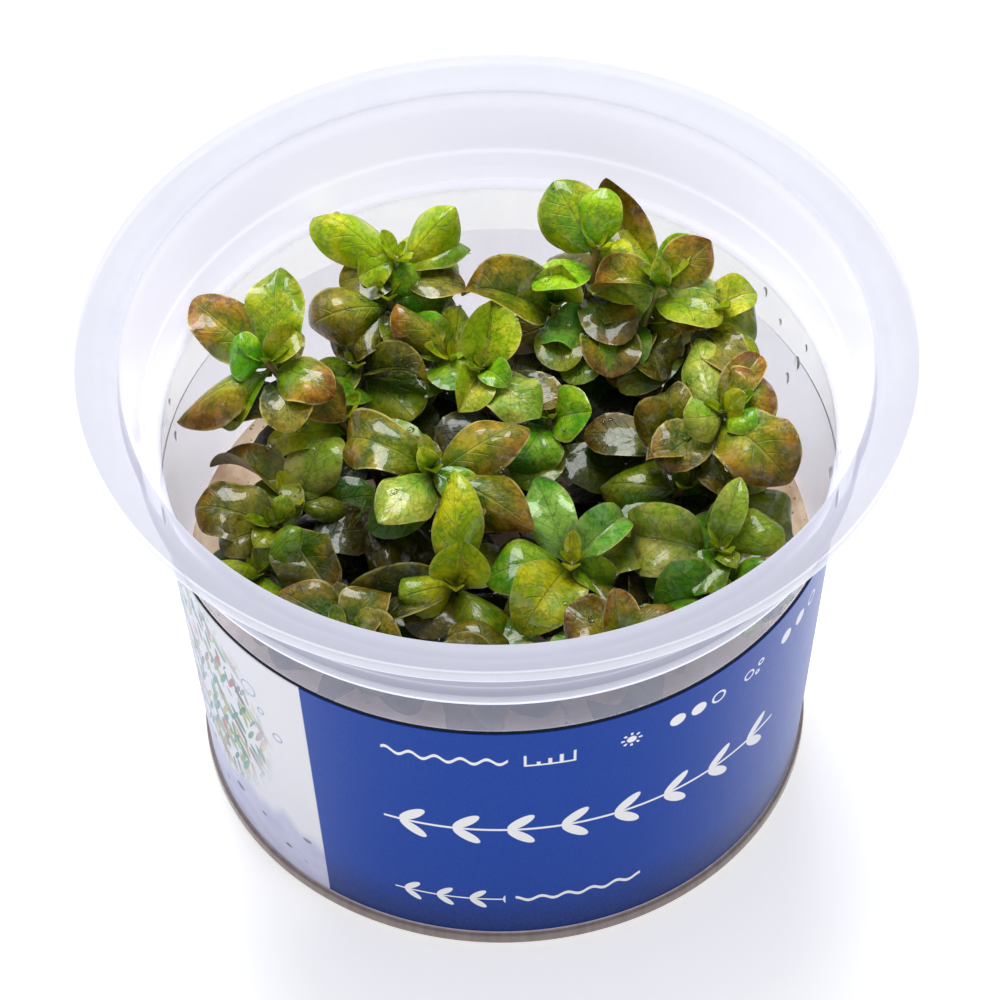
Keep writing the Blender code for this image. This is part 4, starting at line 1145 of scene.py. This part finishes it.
# %% All shoots
shoots, missing = [], 0
for number, (node, crown_reading, readings) in enumerate(
        SHOOTS + [(name, Vector(crown), None) for name, crown in RIM_SHOOTS]):
    corners, tree = corners_of(node)
    foot_z = min(corner.z for corner in corners)
    foot_ring = {tuple(round(c, 3) for c in corner) for corner in corners if corner.z < foot_z + 0.02}
    foot = sum((Vector(corner) for corner in foot_ring), Vector()) / len(foot_ring)
    hidden = readings is None
    crown = crown_reading if hidden else seen_at(*crown_reading)
    path = stem_path(foot, crown)
    rows = list(rim_readings(crown, number - len(SHOOTS))) if hidden else readings
    shoot = Foliage()
    grow_stem(shoot, path, "bronze" if number % 3 else "green")
    for reading in rows:
        if not grow_leaf(shoot, path, reading, tree):
            missing += 1
            print("no solid leaf:", node, reading[:2])
    for reading in SMALL_LEAVES.get(node, ()):
        grow_leaf(shoot, path, reading, None)
    grow_old_pairs(shoot, path, number)
    grow_bud(shoot, path, "lime" if rows[0][-1] in ("lime", "pale", "green") else "olive")
    piece = shoot.piece(node.replace("shoot_", "sprig_"), PLANT_FINISHES)
    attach(piece, "root")
    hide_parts(node)
    shoots.append(piece)
face_count = sum(len(s.data.polygons) for s in shoots)
print(len(shoots), "shoots,", face_count, "faces,", missing, "leaves not in the solids")

# %% [markdown]
# ## Dew
# The leaves are wet. Hundreds of small drops are scattered by Geometry Nodes over the faces that look up,
# and a few large ones are set where the picture shows them. A drop is a flattened ball of water that
# sits half in the leaf, so that it bends the light as a lens does.

# %% Water, and a tree that scatters drops
DEW_FLATNESS, DROP_FLATNESS = 0.6, 0.55      # height of a small and of a large drop against its width


def water():
    f = Finish("water")
    return f.done(f.principled(base_color=(1, 1, 1, 1), roughness=0.02, ior=1.33, transmission_weight=1.0))


def new_tree(name, inputs):
    """A geometry tree with these named inputs; returns its graph and a wire for each input."""
    tree = bpy.data.node_groups.new(name, "GeometryNodeTree")
    tree.interface.new_socket(name="Geometry", in_out="INPUT", socket_type="NodeSocketGeometry")
    for label, kind in inputs.items():
        tree.interface.new_socket(name=label, in_out="INPUT", socket_type="NodeSocket" + kind)
    tree.interface.new_socket(name="Geometry", in_out="OUTPUT", socket_type="NodeSocketGeometry")
    g = Graph(tree)
    source = g.add("NodeGroupInput")
    return g, {label: source.also(label) for label in ("Geometry", *inputs)}


def scattered(g, given):
    """Random points on the faces of what the tree is given."""
    return g.add("GeometryNodeDistributePointsOnFaces", {},
                 {"Mesh": given["Geometry"], "Density": given["Density"], "Seed": given["Seed"]})


def random_number(g, low, high, seed):
    values = {2: low, 3: high, "Seed": seed}
    return g.add("FunctionNodeRandomValue", {"data_type": "FLOAT"}, values, out=1)


def finish_tree(g, geometry, material):
    realized = g.add("GeometryNodeRealizeInstances", {}, {"Geometry": geometry})
    smooth = g.add("GeometryNodeSetShadeSmooth", {}, {"Geometry": realized})
    dressed = g.add("GeometryNodeSetMaterial", {}, {"Geometry": smooth, "Material": material})
    g.add("NodeGroupOutput", {}, {"Geometry": dressed})
    return g.tree


def drops_tree(material):
    g, given = new_tree("scattered_drops", {"Density": "Float", "Smallest": "Float", "Largest": "Float",
                                            "Seed": "Int"})
    points = scattered(g, given)
    ball = g.add("GeometryNodeMeshIcoSphere", {}, {"Radius": 1.0, "Subdivisions": 2})
    drop = g.add("GeometryNodeTransform", {}, {"Geometry": ball, "Scale": (1.0, 1.0, DEW_FLATNESS)})
    share = random_number(g, 0.0, 1.0, given["Seed"])
    radius = given["Smallest"] + share.maths("POWER", 4) * (given["Largest"] - given["Smallest"])
    drops = g.add("GeometryNodeInstanceOnPoints", {}, {"Points": points, "Instance": drop,
                                                       "Rotation": points.also("Rotation"), "Scale": radius})
    return finish_tree(g, drops, material)


def grown(host, tree, values, name):
    """Run a tree on a host object and keep only the mesh that it makes."""
    modifier = host.modifiers.new("tree", "NODES")
    modifier.node_group = tree
    for item in tree.interface.items_tree:
        if item.in_out == "INPUT" and item.name in values:
            modifier[item.identifier] = values[item.name]
    evaluated = host.evaluated_get(bpy.context.evaluated_depsgraph_get())
    mesh = bpy.data.meshes.new_from_object(evaluated)
    mesh.name = name
    bpy.data.objects.remove(host)
    return in_scene(name, mesh)


def corners_and_faces(pieces, keep=lambda polygon: True):
    """All corners of these pieces in metres, and their faces that are to be kept."""
    points, faces = [], []
    for piece in pieces:
        start = len(points)
        points += [vertex.co.copy() for vertex in piece.data.vertices]
        faces += [[start + v for v in polygon.vertices] for polygon in piece.data.polygons if keep(polygon)]
    return points, faces


# %% Small dew on the leaves that look up
DEW_ABOVE = 43.0         # mm; below it no drop would be seen
SMALL_DROP_CORNERS, LARGE_DROP_CORNERS = 42, 162       # of a ball with two and with three subdivisions


def catches_dew(polygon):
    return polygon.material_index == UPPER and polygon.center.z > DEW_ABOVE * MM and polygon.normal.z > 0.25


WATER = water()
wet_faces = meshed("wet_faces", *corners_and_faces(shoots, catches_dew))
dew = grown(wet_faces, drops_tree(WATER),
            {"Density": 62000.0, "Smallest": 0.09 * MM, "Largest": 0.5 * MM, "Seed": 5}, "dew_on_leaves")
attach(dew, "root")
print("dew:", len(dew.data.vertices) // SMALL_DROP_CORNERS, "drops")

# %% [markdown]
# ## Large drops
# A pixel and the camera give a ray; where it meets a leaf or the wall, a drop is set on that surface. On the
# steep wall the drops have run a little, so they are drawn out downward.

# %% Drops set at listed pixels
LEAF_DROPS = [          # pixel x, pixel y, radius in mm
    (554, 321, 1.0), (541, 330, 0.4), (388, 388, 0.45), (396, 378, 0.35), (402, 396, 0.5), (379, 402, 0.3),
    (352, 186, 0.35), (636, 512, 0.45), (655, 540, 0.35), (242, 392, 0.4), (487, 322, 0.35), (304, 428, 0.5),
    (566, 604, 0.45), (436, 505, 0.4), (610, 420, 0.35), (720, 398, 0.4), (268, 448, 0.45), (466, 566, 0.35)]
WALL_DROPS = [          # pixel x, pixel y, radius in mm, how far drawn out
    (797, 363, 0.5, 2.2), (787, 378, 0.4, 2.4), (830, 363, 0.35, 2.0), (830, 474, 0.5, 2.6),
    (765, 292, 0.4, 2.0), (806, 348, 0.3, 2.0), (780, 322, 0.3, 1.8), (842, 452, 0.3, 3.0),
    (176, 436, 0.35, 2.4), (170, 402, 0.3, 2.0)]


def seen_spot(tree, pixel_x, pixel_y):
    """Where the ray through this pixel meets the surface, and the surface's slope there."""
    ray = ray_through(pixel_x, pixel_y)
    place, normal = tree.ray_cast(EYE * MM, ray.normalized())[:2]
    if place is None:
        return None, None
    return place, normal if normal.dot(ray) < 0 else -normal


def hand_set_drops(name, pieces, spots):
    tree, shape = BVHTree.FromPolygons(*corners_and_faces(pieces)), bmesh.new()
    for pixel_x, pixel_y, radius, *drawn in spots:
        place, normal = seen_spot(tree, pixel_x, pixel_y)
        if place is None:
            continue
        down = (normal * normal.z - Vector((0, 0, 1))).normalized()
        stretch = drawn[0] if drawn else 1.0
        turn = Matrix((down, normal.cross(down), normal)).transposed().to_4x4()
        size = Matrix.Diagonal((radius * stretch * MM, radius * MM, radius * DROP_FLATNESS * MM, 1))
        bmesh.ops.create_icosphere(shape, subdivisions=3, radius=1.0,
                                   matrix=Matrix.Translation(place) @ turn @ size)
    mesh = bpy.data.meshes.new(name)
    shape.to_mesh(mesh)
    shape.free()
    mesh.materials.append(WATER)
    mesh.shade_smooth()
    piece = in_scene(name, mesh)
    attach(piece, "root")
    print(name + ":", len(mesh.vertices) // LARGE_DROP_CORNERS)
    return piece


hand_set_drops("large_drops", shoots, LEAF_DROPS)
hand_set_drops("drops_on_the_wall", [cup], WALL_DROPS)

# %% [markdown]
# ## Roots
# Thin roots creep over the gel. Each is a bent line with a round section; a tree strews them over the gel's
# top and bends them by noise, so that they lie along it.

# %% Roots on the gel
def root_skin():
    f = Finish("root_skin")
    colour = f.colour(f.noise(1.5, 3), srgb(60, 38, 26), srgb(150, 112, 76))
    return f.done(f.principled(base_color=colour, roughness=0.4, normal=f.bump(f.noise(0.3), 0.3, 0.05)))


ROOT_SWAY = (0.009, 0.009, 0.002)        # how far the noise bends a root, in metres


def roots_tree(material):
    g, given = new_tree("strewn_roots", {"Density": "Float", "Length": "Float", "Radius": "Float",
                                         "Seed": "Int"})
    points = scattered(g, given)
    line = g.add("GeometryNodeCurvePrimitiveLine", {"mode": "DIRECTION"},
                 {"Direction": (1.0, 0.0, 0.0), "Length": given["Length"]})
    bent = g.add("GeometryNodeResampleCurve", {}, {"Curve": line, "Count": 10})
    turn = random_number(g, 0.0, math.tau, given["Seed"])
    rotation = g.add("ShaderNodeCombineXYZ", {}, {2: turn})
    strewn = g.add("GeometryNodeInstanceOnPoints", {},
                   {"Points": points, "Instance": bent, "Rotation": rotation})
    curves = g.add("GeometryNodeRealizeInstances", {}, {"Geometry": strewn})
    sway = g.add("ShaderNodeTexNoise", {}, {"Scale": 110.0, "Detail": 1.0}, out=1)
    centred = g.add("ShaderNodeVectorMath", {"operation": "SUBTRACT"}, {0: sway, 1: (0.5, 0.5, 0.5)})
    offset = g.add("ShaderNodeVectorMath", {"operation": "MULTIPLY"}, {0: centred, 1: ROOT_SWAY})
    swayed = g.add("GeometryNodeSetPosition", {}, {"Geometry": curves, "Offset": offset})
    section = g.add("GeometryNodeCurvePrimitiveCircle", {}, {"Resolution": 5, "Radius": given["Radius"]})
    tubes = g.add("GeometryNodeCurveToMesh", {},
                  {"Curve": swayed, "Profile Curve": section, "Fill Caps": True})
    return finish_tree(g, tubes, material)


def gel_top(corners=32):
    """A flat round host just under the gel's surface; its edge leaves room for a root's length."""
    reach, height = room_at(GEL_TOP) - 9.0, GEL_TOP - 0.3
    return meshed("gel_top", circle(reach * MM, height * MM, corners), [tuple(range(corners))])


roots = grown(gel_top(), roots_tree(root_skin()),
              {"Density": 26000.0, "Length": 7 * MM, "Radius": 0.16 * MM, "Seed": 3}, "roots_on_gel")
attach(roots, "root")
print("roots:", len(roots.data.polygons), "faces")

# %% [markdown]
# ## Camera, floor and light
# The camera stands where the picture's did. The floor and the sky are white, so that milky plastic reads
# as milky, and one large soft box above and behind the cup gives wet leaves their pale sheen.

# %% The camera
camera = in_scene("camera", bpy.data.cameras.new("camera"))
camera.data.sensor_width = 36.0
camera.data.lens = FOCAL_PX * camera.data.sensor_width / (2 * CENTRE_PX)
camera.data.clip_start = 0.01
camera.data.clip_end = 20.0
placement = Matrix((RIGHT, UP, BACK)).transposed().to_4x4()
placement.translation = EYE * MM
camera.matrix_world = placement
bpy.context.scene.camera = camera

# %% Floor, sky and lamps
def plain_floor():
    f = Finish("plain_floor")
    x, y = f.coordinates(f.place, 2)
    away = (x * x + y * y).root().ramp(0.2, 1.2)                 # in metres from the cup
    glow = f.colour(away, srgb(226, 226, 226), srgb(255, 255, 255))
    return f.done(f.principled(base_color=srgb(245, 245, 246), roughness=0.9, emission_color=glow,
                               emission_strength=0.72))


BUSH_MIDDLE = Vector((0, 0, 40))


def soft_box(name, location, width, depth, watts):
    """An even, rectangular lamp that looks at the bush; lengths in mm."""
    lamp = bpy.data.lights.new(name, "AREA")
    lamp.shape, lamp.energy = "RECTANGLE", watts
    lamp.size, lamp.size_y = width * MM, depth * MM
    holder = in_scene(name, lamp)
    holder.location = Vector(location) * MM
    holder.rotation_euler = (Vector(location) - BUSH_MIDDLE).to_track_quat("Z", "Y").to_euler()


FLOOR_HALF, FLOOR_Z = 3000, -0.05
floor = new_piece("floor", [(x * FLOOR_HALF, y * FLOOR_HALF, FLOOR_Z) for x, y in
                            ((-1, -1), (1, -1), (1, 1), (-1, 1))], [(0, 1, 2, 3)], [plain_floor()])

WALL_LIGHT = 0.36           # what the white walls give off, when pure white is 1


def studio_walls():
    """A white backdrop that lights the set only softly."""
    world = bpy.data.worlds.new("studio_walls")
    world.use_nodes = True
    g = Graph(world.node_tree)
    seen = g.add("ShaderNodeLightPath", out="Is Camera Ray")
    strength = seen * (1 - WALL_LIGHT) + WALL_LIGHT
    light = g.add("ShaderNodeBackground", {}, {"Color": (1, 1, 1, 1), "Strength": strength})
    g.add("ShaderNodeOutputWorld", {}, {"Surface": light})
    return world


bpy.context.scene.world = studio_walls()
soft_box("sheen_box", location=(-25, 200, 420), width=280, depth=320, watts=2.4)
bpy.context.scene.view_settings.view_transform = "Standard"
